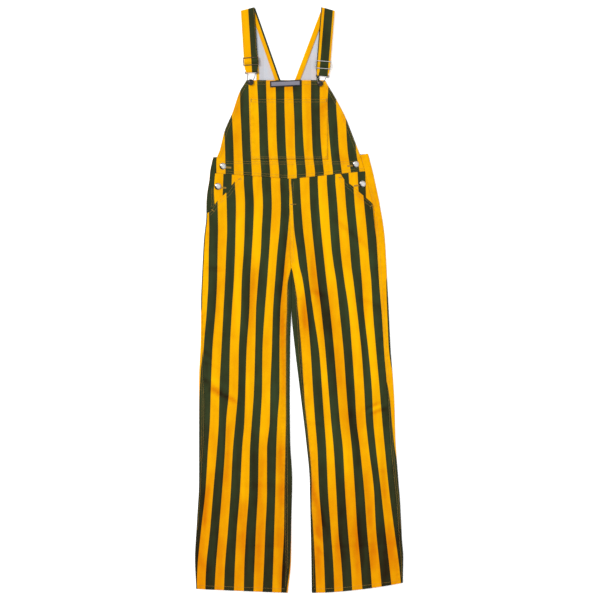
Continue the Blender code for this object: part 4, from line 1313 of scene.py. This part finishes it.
@dataclass
class Bearer:
    """The under-piece of a hip pocket, from the scoop to the side opening."""
    front: Front
    columns: int = 22
    lines: int = 26

    def row(self, stripes: Stripes, share: float) -> list[Knot]:
        """One row from the side opening inwards; share is 0 at the foot and 1 at the waist."""
        front, side, sign = self.front, self.front.side, self.front.sign
        outer_foot, inner_foot = BEARER_FEET[side]
        lap = sign * BEARER_UNDERLAP
        inner_up = inner_foot + (waist_at(SCOOP[side][-1].x - lap) - ABUT / 2 - inner_foot) * share
        outer_up = outer_foot + (waist_at(sign * 180) - ABUT - outer_foot) * share
        outer = front.back.side_seam(outer_up) - sign * ABUT
        inner = front.scoop.at(inner_up) - lap
        knots = []
        for i in range(self.columns + 1):
            t = (i / self.columns) ** 1.4
            x, up = outer + (inner - outer) * t, outer_up + (inner_up - outer_up) * t
            up += (waist_at(x) - ABUT / 2 - up) * ease(0.8, 1, share)
            knots.append(stripes.knot(x, up, FLAT - edge_drop(abs(x - outer))))
        return knots[::-sign]

    def make(self, finishes: Finishes) -> Piece:
        """Make the bearer in even rows."""
        word = self.front.side.word
        stripes = Stripes(BEARER_STRIPES[self.front.side])
        panel = Panel(f"{word}_pocket_bearer", f"pocket_bearer_{word}", Stock.GREEN, (72, 86),
                      (f"{word}_back_panel",))
        return panel.make([self.row(stripes, i / self.lines) for i in range(self.lines + 1)], finishes)


# --- Bib, its pocket and label ---

@dataclass
class Bib:
    """The bib, the patch pocket that lies on it and the waistband at its foot."""
    halves: dict[Wearer, BackHalf]
    margin: tuple[float, ...] = (0, 0.6, 1.4, 4.5, 8, 10.5)
    pocket_edge: tuple[float, ...] = (0, 0.6, 1.4, 6.4, 8.6)
    middle_cells: int = 68
    pocket_cells: int = 42
    row_step: float = 4
    side_hem: float = 9
    top_hem: float = 12  # of the bib and of its pocket
    pocket_side_hem: float = 7.5
    hem_step: float = 0.55  # what a turned hem adds to the wall
    band: float = 1058  # the waistband's topstitching puckers the cloth here

    def __post_init__(self) -> None:
        """Draw the bib's lines."""
        self.sides = {side: Course(BIB_SIDE[side]) for side in Wearer}
        self.pocket_right, self.pocket_left = (Course(POCKET_EDGE[side]) for side in Wearer)
        self.stripes = Stripes(BIB_STRIPES)
        self.lie = Lie(SWELLS + BIB_CREASES)
        self.foot = WAIST[1].up

    def rise(self, x: float, up: float) -> float:
        """How much a row rises near the waist seam, which is slanted."""
        near_waist = ease(POCKET_BOTTOM, self.foot, up)
        return near_waist * (waist_at(x) + ABUT / 2 - self.foot)

    def edge(self, side: Wearer, up: float) -> float:
        """Place across of a side edge: the side opening, then the bib's own line."""
        half = self.halves[side]
        up += self.rise(half.sign * 205, up)
        if up <= half.opening:
            return half.side_seam(up) - half.sign * ABUT
        return self.sides[side].at(up)

    def face(self, x: float, up: float, margin: float) -> Pair:
        """Height and painted shade of the bib's face, at a distance from its side edge."""
        near = ease(0, SEAM_FLAT, up - waist_at(x)) * ease(0, SEAM_FLAT, BIB_TOP + 6 - up)
        z, painted_shade = self.lie.over(x, up, margin, LOFT / 2, near)
        turned_side = hemmed(self.side_hem, margin, 0.8) * ease(POCKET_BOTTOM, POCKET_BOTTOM + 8, up)
        turned_top = hemmed(self.top_hem, BIB_TOP - up, 0.8)
        band = 0.8 * hemmed(0, up - band_at(x), 0.9)
        z += FLAT + BIB_LIFT * ease(BIB_LIFT_NONE, BIB_LIFT_FULL, up)
        return z + self.hem_step * max(turned_side, turned_top, band), painted_shade

    def surface(self, x: float, up: float) -> float:
        """Height of the bib's upper face at a point."""
        margin = min(x - self.edge(RIGHT, up), self.edge(LEFT, up) - x)
        return self.face(x, up, margin)[0]

    def row(self, up: float) -> list[Knot]:
        """One row of the bib; the lowest follows the waist seam."""
        low, high = self.edge(RIGHT, up), self.edge(LEFT, up)
        knots = []
        for x in spread(low, high, self.middle_cells, self.margin):
            level = up + self.rise(x, up)
            margin = min(x - low, high - x)
            z, painted_shade = self.face(x, level, margin)
            z -= edge_drop(min(margin, BIB_TOP - up, up - self.foot))
            sewn = puckered(min(margin, BIB_TOP - up, abs(level - self.band), level - waist_at(x)))
            knots.append(self.stripes.knot(x, level, z, painted_shade, sewn))
        return knots

    def make(self, finishes: Finishes) -> Piece:
        """Make the bib itself."""
        foot, top = self.foot, folded(BIB_TOP, self.top_hem, -1)[::-1]
        levels = heights([foot, foot + 0.5, foot + 1.3, self.band, POCKET_BOTTOM, 1076] + top, self.row_step)
        panel = Panel("bib_panel", "bib", Stock.GOLD, (392, 246), ("left_back_panel", "right_back_panel"))
        return panel.make([self.row(up) for up in levels], finishes)

    def pocket_margin(self, x: float, up: float) -> float:
        """Distance from the pocket's nearest sewn edge."""
        return min(x - self.pocket_right.at(up), self.pocket_left.at(up) - x, up - POCKET_BOTTOM)

    def pocket_face(self, x: float, up: float) -> float:
        """Height of the pocket's upper face at a point."""
        turned_top = hemmed(self.top_hem, POCKET_TOP - up, 0.8)
        turned_side = 0.7 * hemmed(self.pocket_side_hem, self.pocket_margin(x, up), 0.8)
        return self.surface(x, up) + LAYER + self.hem_step * max(turned_top, turned_side)

    def pocket_row(self, up: float) -> list[Knot]:
        """One row of the pocket."""
        knots = []
        for x in spread(self.pocket_right.at(up), self.pocket_left.at(up), self.pocket_cells,
                        self.pocket_edge):
            margin = self.pocket_margin(x, up)
            z = self.pocket_face(x, up) - edge_drop(min(margin, POCKET_TOP - up))
            z -= self.hem_step * ease(3, 0.0, margin)
            # The pocket takes the bib's painted shade.
            knots.append(self.stripes.knot(x, up, z, self.lie.at(x, up)[1],
                                           puckered(min(margin, POCKET_TOP - up))))
        return knots

    def make_pocket(self, finishes: Finishes) -> Piece:
        """Make the pocket on the bib's own surface, moved out by one layer."""
        levels = heights(folded(POCKET_BOTTOM, self.pocket_side_hem, 1)
                         + folded(POCKET_TOP, self.top_hem, -1)[::-1], self.row_step)
        panel = Panel("bib_pocket_panel", "bib_pocket", Stock.GREEN, (196, 152), ("bib_panel",))
        return panel.make([self.pocket_row(up) for up in levels], finishes)


@dataclass
class Label:
    """The bare woven patch at the middle of the bib's top edge."""
    bib: Bib
    centre: Pair = (-33.5, 1251.5)
    size: Pair = (76, 15.5)
    turn: float = radians(2.5)
    wall: float = 1
    border: float = 3.1
    sag: float = 0.25
    columns: int = 40
    lines: int = 12

    def at(self, u: float, v: float) -> Pair:
        """Place across and height at shares, -1 to 1, of half the width and height."""
        (x, up), (width, height) = self.centre, self.size
        along, aside = Vector((u * width, v * height)) / 2 @ Matrix.Rotation(-self.turn, 2)
        return x + along, up + aside

    def top(self, u: float, v: float) -> float:
        """Height of the patch's upper face."""
        sag = self.sag * sin(3.1 * u + 0.6) * (1 - v * v)
        return self.bib.surface(*self.at(u, v)) + self.wall + SEAM + sag + SEAM

    def make(self, finishes: Finishes) -> Piece:
        """Make the patch, finest at its edges."""
        rows = []
        width, height = self.size
        field_width, field_height = width - 2 * self.border, height - 2 * self.border
        for j in range(self.lines + 1):
            v = -cos(pi * j / self.lines)
            row = []
            for i in range(self.columns + 1):
                u = -cos(pi * i / self.columns)
                reach = min((1 - abs(u)) * width, (1 - abs(v)) * height) / 2
                row.append(Knot(*self.at(u, v), self.top(u, v) - edge_drop(reach),
                                0.5 + u * width / 2 / field_width, 0.5 + v * height / 2 / field_height))
            rows.append(row)
        panel = Panel("woven_patch", "label", Stock.LABEL, self.size, ("bib_panel",), self.wall, False)
        return panel.make(rows, finishes, outer=finishes.damask)


@dataclass
class NeckBinding:
    """The band that covers one raw edge of the back's V."""
    back: BackHalf
    green_width: float = 6.4  # along the cloth, over the fold
    spare: float = 4.4  # what shows beside the strap
    taper: float = 0.31
    fold_cells: int = 6

    def section(self, up: float) -> list[tuple[float, float, float]]:
        """The band's outside: place across, height, and distance along the cloth."""
        sign, top, radius = self.back.sign, CLOTH + LAYER, CLOTH + 0.2
        edge = self.back.neck(up) + sign * SEAM / 2
        spare = self.spare - self.taper * max(0, up - BINDING_TUCK - 5)
        width = BINDING_WIDTH + (spare - BINDING_WIDTH) * ease(BINDING_TUCK, BINDING_TUCK + 3, up)
        points = []
        for share in (0, 0.05, 0.12, 0.33, 0.6, 0.85):
            x = edge + sign * (width + (radius - width) * share)
            points.append((x, top - 0.6 * edge_drop((width - radius) * share)))
        for i in range(self.fold_cells + 1):
            angle = pi / 2 * (1 - i / self.fold_cells)
            points.append((edge + sign * radius * (1 - cos(angle)), top - radius + radius * sin(angle)))
        points.append((edge, 0.0))
        travelled, result = 0.0, []
        for i, point in enumerate(points):
            travelled += dist(point, points[i - 1]) if i else 0.0
            result.append((*point, travelled))
        return result

    def make(self, finishes: Finishes) -> Piece:
        """Make the band from the V's point to the strap."""
        side, word = self.back.side, self.back.side.word
        rows = []
        for up in heights([NECK_POINT.up + 3, BINDING_TUCK, BINDING_TUCK + 3, BINDING_TOP[side]], 6):
            section = self.section(up)
            start = 0.15
            if side is RIGHT:
                start = 1 + (self.green_width - section[-1][2]) / PITCH
            row = [Knot(x, up, z, start + travelled / PITCH, up / PITCH) for x, z, travelled in section]
            rows.append(row[::-side.value])
        panel = Panel(f"{word}_neck_binding", f"neck_binding_{word}", Stock.GOLD, (17.5, 224),
                      (f"{word}_back_panel",))
        return panel.make(rows, finishes)


# --- Straps and their metal ---

@dataclass
class Suspender:
    """One strap with its slider, wire hook and bib button."""
    side: Wearer
    width: float = 34
    lower_width: float = 31.5  # below the slider
    loop_width: float = 27  # round the hook
    wall: float = 1.6
    tail: float = 9
    fold_radius: float = 1.55
    skew_fade: float = 60  # the strap's end is slanted, and straight from here down
    wire: float = 1
    hook_shoulder: float = 4.7
    hook_neck: float = 8.8
    slider_bar: float = 1.8
    slider_wall: float = 1.4
    slider_pitch: float = 9
    shank: float = 2.2
    button: float = 7.4

    def __post_init__(self) -> None:
        """Work out the stack of heights and the strap's direction."""
        self.plan = plan = STRAPS[self.side]
        self.word = self.side.word
        run = plan.loop - plan.fold
        self.length = run.length
        self.down = run.normalized()
        self.across = Vector((-self.down.y, self.down.x))
        self.tail_z = CLOTH + SEAM + self.wall / 2
        self.run_z = self.tail_z + self.wall + SEAM
        self.slider_z = self.run_z + self.wall / 2 + SEAM + self.slider_wall / 2
        self.hump_z = self.slider_z + self.slider_wall / 2 + SEAM + self.wall / 2
        self.upper_z = self.wall / 2 + 2 * self.fold_radius
        self.loop = self.wire + SEAM + self.wall / 2
        self.bar_z = self.tail_z + self.loop
        self.bar = plan.fold + self.down * (self.length - self.loop - self.wall / 2)
        self.eye_z = FLAT + BIB_LIFT + SEAM + self.wire
        to_button = plan.button - self.bar
        self.reach, self.aside = to_button.dot(self.down), to_button.dot(self.across)

    def at(self, s: float, w: float, z: float) -> tuple[float, float, float]:
        """A point s down the strap from its fold and w across it."""
        slant = self.plan.skew * w * ease(self.skew_fade, 0, s)
        spot = self.plan.fold + self.down * (s - slant) + self.across * w
        return spot.x, spot.y, z

    def path(self) -> list[Vector]:
        """Middle line of the strap, (s, z), from the back over the shoulder to its tail."""
        def turn(s: float, z: float, radius: float, start: int) -> list[Pair]:
            """A half turn of the webbing."""
            angles = [radians(start) - pi * i / 12 for i in range(13)]
            return [(s + radius * cos(a), z + radius * sin(a)) for a in angles]

        low, upper, fold, length = self.wall / 2, self.upper_z, self.fold_radius, self.length
        slider, bar = self.plan.slider, self.slider_pitch
        corners = [(self.tail, low), *turn(low + fold, low + fold, fold, 270), (40, upper), (80, upper),
                   (slider - bar - 3, upper), (slider - bar + 1.8, upper),
                   (slider - 1.8, self.hump_z), (slider + 1.8, self.hump_z),
                   (slider + bar - 1.8, self.run_z), (slider + bar + 2, self.run_z),
                   (length - 9, self.run_z + 0.5), (length - 6, self.run_z + 1.4),
                   *turn(length - self.loop - low, self.bar_z, self.loop, 90),
                   (length - 6, self.tail_z), (length - 9, self.tail_z), (slider + 3, self.tail_z)]
        points = [Vector(corners[0])]
        for one, two in zip(corners, corners[1:]):
            step = Vector(two) - Vector(one)
            count = max(1, ceil(step.length / FINE))
            points += [Vector(one) + step * i / count for i in range(1, count + 1)]
        return points

    def half_width(self, s: float) -> float:
        """Half the strap's width, which narrows to the hook."""
        below = ease(self.plan.slider + self.slider_pitch, self.length - 9, s)
        turn = ease(self.length - 9, self.length - 4, s)
        return (self.width + (self.lower_width - self.width) * below
                + (self.loop_width - self.lower_width) * turn) / 2

    def make_strap(self, finishes: Finishes) -> Piece:
        """The strap: the path's outer face, thickened inwards."""
        path = self.path()
        steps = [(after - before).normalized() for before, after in zip(path, path[1:])]
        shares = (1, 0.965, 0.92, 0.85, 0.7, 0.45, 0.15)
        rows, travelled = [], 0.0
        for point, before, one, two in zip(path, path[:1] + path, steps[:1] + steps, steps + steps[-1:]):
            travelled += (point - before).length
            bisector = (one + two).normalized()
            outward = Vector((bisector.y, -bisector.x))
            reach = self.wall / 2 / max(0.5, bisector.dot(one))
            half = self.half_width(point.x)
            row = []
            for share in (*shares, *(-share for share in reversed(shares))):
                s, z = point - outward * (reach - 0.8 * edge_drop((1 - abs(share)) * half))
                row.append(Knot(*self.at(s, share * half, z), straight(self.plan.stripes, share * half),
                                travelled / PITCH))
            rows.append(row)
        panel = Panel(f"{self.word}_strap_band", f"strap_{self.word}", Stock.GREEN,
                      (self.width, round(travelled)), (f"{self.word}_back_panel",), self.wall, False)
        return panel.make(rows, finishes)

    def hook_points(self) -> list[Pair]:
        """The wire's middle line: (s down from its bar, w across) round the whole loop."""
        reach, low, neck = self.reach, self.hook_shoulder, self.hook_neck
        half = self.loop_width / 2 + 3 * SEAM + self.wire
        eye = self.shank + self.wire + 0.7
        corner = [(1.4, 0), (0.7, 0.19), (0.19, 0.7), (0, 1.4)]
        side = [(s, half - w) for w, s in corner]
        side += [(low - s, half - w) for w, s in reversed(corner)]
        side += [(low, neck + 1.6), (low + 0.5, neck + 0.5), (low + 1.6, neck),
                 (reach * 0.5, neck + 0.5), (reach * 0.65, neck - 0.4),
                 (reach * 0.78, 6.6), (reach - eye, eye + 0.9)]
        bottom = [(reach + eye * sin(a), eye * cos(a)) for a in (radians(d) for d in range(0, 181, 15))]
        return side + bottom + [(s, -w) for s, w in reversed(side)]

    def make_hook(self, finishes: Finishes) -> Piece:
        """The wire loop, from the strap's end to its eye round the shank."""
        points = []
        for s, w in self.hook_points():
            drift = self.aside * ease(self.hook_shoulder, self.reach * 0.8, s)
            spot = self.bar + self.down * s + self.across * (w + drift)
            climb = ease(self.hook_shoulder, self.reach * 0.5, s)
            points.append(place(*spot, self.bar_z + (self.eye_z - self.bar_z) * climb))
        return wire_piece(f"{self.word}_wire_hook", [points], self.wire, finishes.steel, Stock.BRIGHT,
                          f"hook_{self.word}")

    def make_slider(self, finishes: Finishes) -> Piece:
        """A flat metal frame whose middle bar the strap weaves over."""
        inside, half = self.width / 2 + 0.4, self.slider_bar / 2
        stops_w = (-inside - self.slider_bar, -inside, inside, inside + self.slider_bar)
        stops_s = [self.plan.slider + way * self.slider_pitch + edge
                   for way in (1, 0, -1) for edge in (half, -half)]
        work = bmesh.new()
        bmesh.ops.create_grid(work, x_segments=3, y_segments=5, size=0.5)
        slots = [face for face in work.faces
                 if tuple(map(int, cell(face.calc_center_median(), 5, 3))) in ((1, 1), (3, 1))]
        for vert in work.verts:
            row, column = map(round, cell(vert.co, 5, 3))
            vert.co = place(*self.at(stops_s[row], stops_w[column], self.slider_z + self.slider_wall / 2))
        bmesh.ops.delete(work, geom=slots, context='FACES_ONLY')
        # The wearer's right slider gets the darker nickel: a painted dark reflection.
        metal = finishes.nickel if self.side is LEFT else finishes.tarnished
        piece = add_piece(f"{self.word}_slide_adjuster", work, [metal], Stock.BRIGHT,
                          f"slider_{self.word}", 35)
        modify(piece, 'SOLIDIFY', thickness=self.slider_wall * MM, offset=-1)
        modify(piece, 'BEVEL', width=0.6 * MM, segments=4, limit_method='ANGLE')
        return piece

    def make_button(self, finishes: Finishes) -> Piece:
        """The dark button: a shank through the hook's eye and a ringed, domed cap."""
        foot, under = FLAT + BIB_LIFT + SEAM, self.eye_z + self.wire + SEAM
        profile = [(0, foot), (self.shank, foot), (self.shank, under)]
        profile += [(self.button - inset, under + rise) for inset, rise in BIB_BUTTON_CAP]
        return turned_piece(f"{self.word}_bib_tack_button", profile, self.plan.button,
                            finishes.gunmetal, Stock.DARK, f"bib_button_{self.word}")


@dataclass
class SideButton:
    """A bright domed tack button on a side opening."""
    word: str
    centre: Vector
    radius: float = 8.2
    rise: float = 3.4
    rim: float = 1.2

    def make(self, finishes: Finishes) -> Piece:
        """Turn the button: a thin rim, a groove and a low dome."""
        foot, dome = FLAT + SEAM + 0.25, self.radius - 1.1
        profile = [(0, foot)] + [(self.radius - inset, foot + rise) for inset, rise in SIDE_BUTTON_RIM]
        for angle in map(radians, range(8, 90, 9)):
            profile.append((dome * cos(angle), foot + self.rim + (self.rise - self.rim) * sin(angle)))
        profile.append((0, foot + self.rise))
        return turned_piece(f"{self.word}_tack_button", profile, self.centre, finishes.nickel,
                            Stock.BRIGHT, f"side_button_{self.word}")


# --- Sewing ---

@dataclass
class Needlework:
    """Rows of stitches, each a bead of thread that dips into the cloth at its ends."""
    name: str
    finish: Finish
    stock: Stock = Stock.GOLD
    thread: float = 0.28  # radius of the thread
    stitch: float = 2.8
    gap: float = 0.7
    dip: float = 0.3
    beads: list[list[Vector]] = field(default_factory=list)

    def bead(self, one: Vector, two: Vector, proud: float = 0.12) -> None:
        """Add one stitch between two points of a surface, in millimetres."""
        run, dip, rise = two - one, Vector((0, 0, -self.dip)), Vector((0, 0, proud))
        self.beads.append([place(*point) for point in (
            one + dip, one + run * 0.22 + rise, one + run * 0.78 + rise, two + dip)])

    def stitch_on(self, a: Vector, b: Vector, surface: Surface, proud: float = 0.12) -> None:
        """Add one stitch between two chart points, on a surface."""
        self.bead(Vector((*a, surface(*a))), Vector((*b, surface(*b))), proud)

    def run(self, line: Sequence[Edge], surface: Surface) -> None:
        """Sew along a line of the charts, on a surface.

        Args:
            line: the seam line.
            surface: gives the height of the cloth's face at (x, up).
        """
        points = [Vector((edge.x, edge.up)) for edge in line]
        where = 0.0
        for one, two in zip(points, points[1:]):
            length = (two - one).length
            if length < 1e-6:
                continue
            way = (two - one) / length
            while where + self.stitch <= length + self.gap:
                self.stitch_on(one + way * where, one + way * (where + self.stitch), surface)
                where += self.stitch + self.gap
            where -= length

    def climb(self, low: float, high: float, x_at: Line, surface: Surface, step: float = 8) -> None:
        """Sew from one height to another, at the places across that x_at gives."""
        self.run([Edge(up, x_at(up)) for up in heights([low, high], step)], surface)

    def cross(self, low: float, high: float, up_at: Line, surface: Surface, step: float = 8) -> None:
        """Sew from one place across to another, at the heights that up_at gives."""
        self.run([Edge(up_at(x), x) for x in heights([low, high], step)], surface)

    def bar(self, centre: Vector, way: Vector, length: float, width: float, surface: Surface,
            pitch: float = 0.75) -> None:
        """Sew a dense bar across a line: a bartack, or one side of a buttonhole.

        Args:
            centre: its middle in the chart.
            way: its direction.
            length: its length.
            width: the length of its stitches.
            surface: gives the height of the cloth's face.
            pitch: the spacing of its stitches.
        """
        way = way.normalized()
        side = Vector((-way.y, way.x)) * width / 2
        count = max(2, round(length / pitch))
        for i in range(count):
            middle = centre + way * (length * (i + 0.5) / count - length / 2)
            self.stitch_on(middle - side, middle + side, surface, 0.28)

    def make(self) -> Piece:
        """Make all of the stitches as one piece."""
        return wire_piece(self.name, self.beads, self.thread, self.finish, self.stock, None,
                          closed=False, sides=1, weights=(0.75, 1, 1, 0.75))


@dataclass
class Sewing:
    """All of the visible stitching of the garment."""
    halves: dict[Wearer, BackHalf]
    fronts: dict[Wearer, Front]
    bib: Bib
    suspenders: dict[Wearer, Suspender]
    label: Label
    near: float = 2  # first row of a twin seam, from its edge
    far: float = 8.2  # and its second row

    def sew_front(self, side: Wearer, finish: Finish) -> Piece:
        """Hem, pocket edge, fly line and inseam of one front."""
        work = Needlework(f"{side.word}_front_stitching", finish)
        front, sign = self.fronts[side], side.value
        work.cross(front.outer(HEM) - sign * 3, front.inner(HEM) + sign * 3,
                   lambda x: HEM - 1.2 + hem_rise(side, x, HEM), front.surface, 6)
        scoop = [Edge(up, front.scoop.at(up))
                 for up in heights([front.scoop_foot + 2, front.top_level - 1], 4)]
        for inset in (self.near, self.far):
            work.run([edge for edge in offset(scoop, -inset * sign) if edge.up < waist_at(edge.x) - 2],
                     front.surface)
        work.climb(16, CROTCH - 6, lambda up: front.inner(up) + sign * self.near, front.surface, 12)
        if side is LEFT:
            for inset in (self.near, self.far):
                work.climb(812, 1012, lambda up: front.inner(up) + inset, front.surface)
            work.bar(Vector((front.inner(955) + 9.5, 955)), Vector((1, 0.04)), 15, 2.2, front.surface)
        for up, slope in ((front.scoop_foot + 7, 0.7 * sign), (front.top_level - 7, 0.2)):
            work.bar(Vector((front.scoop.at(up) - sign * 5, up)), Vector((1, slope)), 8, 2, front.surface)
        return work.make()

    def sew_back(self, side: Wearer, finish: Finish) -> Piece:
        """Side seam and inseam rows on the back's wraps, and the opening's edge."""
        work = Needlework(f"{side.word}_seam_stitching", finish, Stock.GREEN)
        back, sign = self.halves[side], side.value

        def top(x: float, up: float) -> float:
            """The wraps lie flat."""
            return FLAT + HEM_STEP * hemmed(HEM, up - hem_rise(side, x, 0))

        def sew(low: float, high: float, x_at: Line, room: Callable[[Edge], float]) -> None:
            """Sew upwards where the wrap has room for the row."""
            line = [Edge(up, x_at(up)) for up in heights([low, high], 12)]
            work.run([edge for edge in line if room(edge) > ROLL + 0.5], top)

        hem_top = 16 + 0.9 * hem_rise(side, back.outer.at(0), 0)
        for inset in (self.near, 6.4):
            for low, high in ((hem_top, 925), (948, 998)):
                sew(low, high, lambda up: back.side_seam(up) + sign * inset,
                    lambda edge: (back.outer.at(edge.up) - edge.x) * sign)
        sew(60, 745, lambda up: back.inner_seam(up) - sign * self.near,
            lambda edge: (edge.x - back.inseam.at(edge.up)) * sign)
        return work.make()

    def sew_bib(self, finish: Finish) -> Piece:
        """The bib's hems and its waistband."""
        work, bib = Needlework("bib_stitching", finish), self.bib
        low_x, high_x = bib.edge(RIGHT, 1250) + 3, bib.edge(LEFT, 1250) - 3
        for inset in (4, 10):
            work.cross(low_x, high_x, lambda x: BIB_TOP - inset, bib.surface)
        for side in Wearer:
            line = [Edge(up, bib.edge(side, up)) for up in heights([1072, BIB_TOP - 5], 6)]
            for inset in (self.near, self.far - 1.4):
                work.run(offset(line, -inset * side.value), bib.surface)
        for inset in (2, 7.4):
            work.cross(-198, 148, lambda x: band_at(x) - inset, bib.surface)
        for inset in (2.2, 7.6):
            work.cross(-202, 156, lambda x: waist_at(x) + ABUT / 2 + inset, bib.surface)
        return work.make()

    def sew_pocket(self, finish: Finish) -> Piece:
        """The bib pocket's opening and its sewn edges."""
        work, top = Needlework("pocket_stitching", finish), self.bib.pocket_face
        right, left = self.bib.pocket_right, self.bib.pocket_left
        inset, high, low = 1.9, POCKET_TOP - 3, POCKET_BOTTOM + 1.9
        for up, end in ((POCKET_TOP - 3.6, 3), (POCKET_TOP - 10, 3), (low, inset),
                        (POCKET_BOTTOM + 6.2, inset)):
            work.cross(right.at(up) + end, left.at(up) - end, lambda x: up, top)
        work.climb(high, low, lambda up: right.at(up) + inset, top)
        work.climb(low, high, lambda up: left.at(up) - inset, top)
        for course, sign in ((right, 1), (left, -1)):
            work.bar(Vector((course.at(POCKET_TOP - 5) + sign * 4.2, POCKET_TOP - 5)),
                     Vector((0, 1)), 8, 1.8, top)
        return work.make()

    def sew_openings(self, finish: Finish) -> Piece:
        """Buttonholes on the side openings, worked in gold thread."""
        work = Needlework("buttonholes", finish, thread=0.36)

        def top(x: float, up: float) -> float:
            """The bib above the waist seam, and the pocket bearers below it."""
            return self.bib.surface(x, up) if up > waist_at(x) else FLAT

        for word, centre in SIDE_BUTTONS.items():
            tilt = Vector((1, -0.06) if word.endswith("right") else (-1, -0.1))
            middle = centre + tilt * 10.5 + Vector((0, -2.4))
            for row in (-1.15, 1.15):
                work.bar(middle + Vector((0, row)), tilt, 18, 1.7, top, 0.62)
            work.bar(middle + tilt.normalized() * 9.4, Vector((0, 1)), 4, 1.6, top, 0.62)
        return work.make()

    def sew_straps(self, finish: Finish) -> Piece:
        """A row along each edge of the straps and along the neck bindings."""
        work = Needlework("strap_stitching", finish, stitch=2.6)
        for side, strap in self.suspenders.items():
            upper = strap.upper_z + strap.wall / 2
            for edge in (-1, 1):
                line = []
                for s in heights([2.5, strap.plan.slider - strap.slider_pitch - 4], 8):
                    x, up, _ = strap.at(s, edge * (strap.half_width(s) - 2.4), 0)
                    line.append(Edge(up, x))
                work.run(line, lambda x, up: upper)
            back, inset = self.halves[side], SEAM / 2 + (BINDING_WIDTH - 1.8)
            work.climb(NECK_POINT.up + 40, BINDING_TUCK - 4,
                       lambda up: back.neck(up) + side.value * inset, lambda x, up: CLOTH + LAYER, 10)
        return work.make()

    def sew_label(self, finish: Finish) -> Piece:
        """A row of black stitches round the patch."""
        work = Needlework("patch_stitching", finish, Stock.LABEL, thread=0.22, stitch=1.9, gap=0.6)
        label, inset = self.label, 1.1
        u, v = (1 - 2 * inset / length for length in label.size)
        corners = [(-u, -v), (u, -v), (u, v), (-u, v), (-u, -v)]
        for (u0, v0), (u1, v1) in zip(corners, corners[1:]):
            shares = [(u0 + (u1 - u0) * i / 8, v0 + (v1 - v0) * i / 8) for i in range(9)]
            spots = [Vector((*label.at(*share), label.top(*share))) for share in shares]
            for a, b in zip(spots, spots[1:]):
                count = max(1, round((b - a).length / (work.stitch + work.gap)))
                for i in range(count):
                    work.bead(a.lerp(b, i / count), a.lerp(b, (i + 0.76) / count))
        return work.make()

    def make(self, finishes: Finishes) -> None:
        """Sew everything."""
        for side in Wearer:
            self.sew_front(side, finishes.thread)
            self.sew_back(side, finishes.thread)
        for sew in (self.sew_bib, self.sew_pocket, self.sew_openings, self.sew_straps):
            sew(finishes.thread)
        self.sew_label(finishes.black_thread)


# --- Studio ---

@dataclass
class Studio:
    """Pale floor, soft light and the camera that looks straight down."""
    view_width: float = 1.476  # metres across the picture
    view_height: float = 4.1
    view_centre: Pair = (0.0022, -0.0002)
    horizon: float = 0.14
    zenith: float = 0.86
    key: float = 2
    key_way: tuple = (0.75, -0.45, -0.8)
    floor_glow: float = 0.3  # keeps the floor as white as a lit backdrop

    def floor(self) -> None:
        """A wide white floor just under the cloth."""
        work = bmesh.new()
        bmesh.ops.create_grid(work, x_segments=1, y_segments=1, size=4)
        bmesh.ops.translate(work, verts=work.verts, vec=(0, 0, -SEAM * MM))
        mesh = bpy.data.meshes.new("studio_floor")
        work.to_mesh(mesh)
        work.free()
        desk = Desk("studio_white")
        colour = desk.blend(desk.noise(3.0) * 0.02, WHITE, (0.95, 0.95, 0.95))
        mesh.materials.append(desk.finish(colour, 0.9, Specular_IOR_Level=0.1, Emission_Color=WHITE,
                                          Emission_Strength=self.floor_glow))
        new_object("studio_floor", mesh)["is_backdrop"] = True

    def light(self) -> None:
        """A white sky, darker at the horizon, and a soft key from the upper left."""
        desk = Desk("studio_sky", "worlds", "Background")
        bpy.context.scene.world = desk.owner
        height = desk.parts(desk.value("ShaderNodeTexCoord", output="Generated"))[2]
        desk.feed(desk.shader.inputs["Color"], WHITE)
        desk.feed(desk.shader.inputs["Strength"], desk.value("ShaderNodeMapRange", sockets={
            "Value": height, "From Max": 0.8, "To Min": self.horizon, "To Max": self.zenith}))
        key = bpy.data.lights.new("key", 'SUN')
        key.angle = radians(25)
        key.energy = self.key
        way = Vector(self.key_way).to_track_quat('-Z', 'Y')
        new_object("key", key).rotation_euler = way.to_euler()

    def camera(self) -> None:
        """A long lens straight above the garment."""
        data = bpy.data.cameras.new("overhead")
        data.lens = data.sensor_width * self.view_height / self.view_width
        data.clip_end = 50
        camera = new_object("overhead", data)
        camera.location = (*self.view_centre, self.view_height)
        bpy.context.scene.camera = camera

    def build(self) -> None:
        """Set up the whole studio."""
        self.floor()
        self.light()
        self.camera()
        view = bpy.context.scene.view_settings
        view.view_transform, view.look = 'Standard', 'None'


# --- The garment ---

def corners(box: Rows) -> list[list[float]]:
    """A box's two corners as plain lists."""
    return [[float(value) for value in corner] for corner in box]


def main() -> None:
    """Build the studio and the garment, and work out the bounds of both models."""
    logging.basicConfig(level=logging.INFO, format="%(name)s: %(message)s")
    Studio().build()
    finishes = Finishes()
    halves = {side: BackHalf(side) for side in Wearer}
    fronts = {side: Front(half) for side, half in halves.items()}
    suspenders = {side: Suspender(side) for side in Wearer}
    bib = Bib(halves)
    label = Label(bib)
    layers = [*halves.values(), *map(NeckBinding, halves.values())]
    for front in fronts.values():
        layers += [Bearer(front), front]
    for layer in (*layers, bib):
        layer.make(finishes)
    bib.make_pocket(finishes)
    label.make(finishes)
    for suspender in suspenders.values():
        suspender.make_strap(finishes)
        suspender.make_slider(finishes)
        suspender.make_hook(finishes)
        suspender.make_button(finishes)
    for word, centre in SIDE_BUTTONS.items():
        SideButton(word, centre).make(finishes)
    Sewing(halves, fronts, bib, suspenders, label).make(finishes)
    {"cad": corners(CAD_BOX), "visual": corners(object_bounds())}


if __name__ == "__main__":
    main()
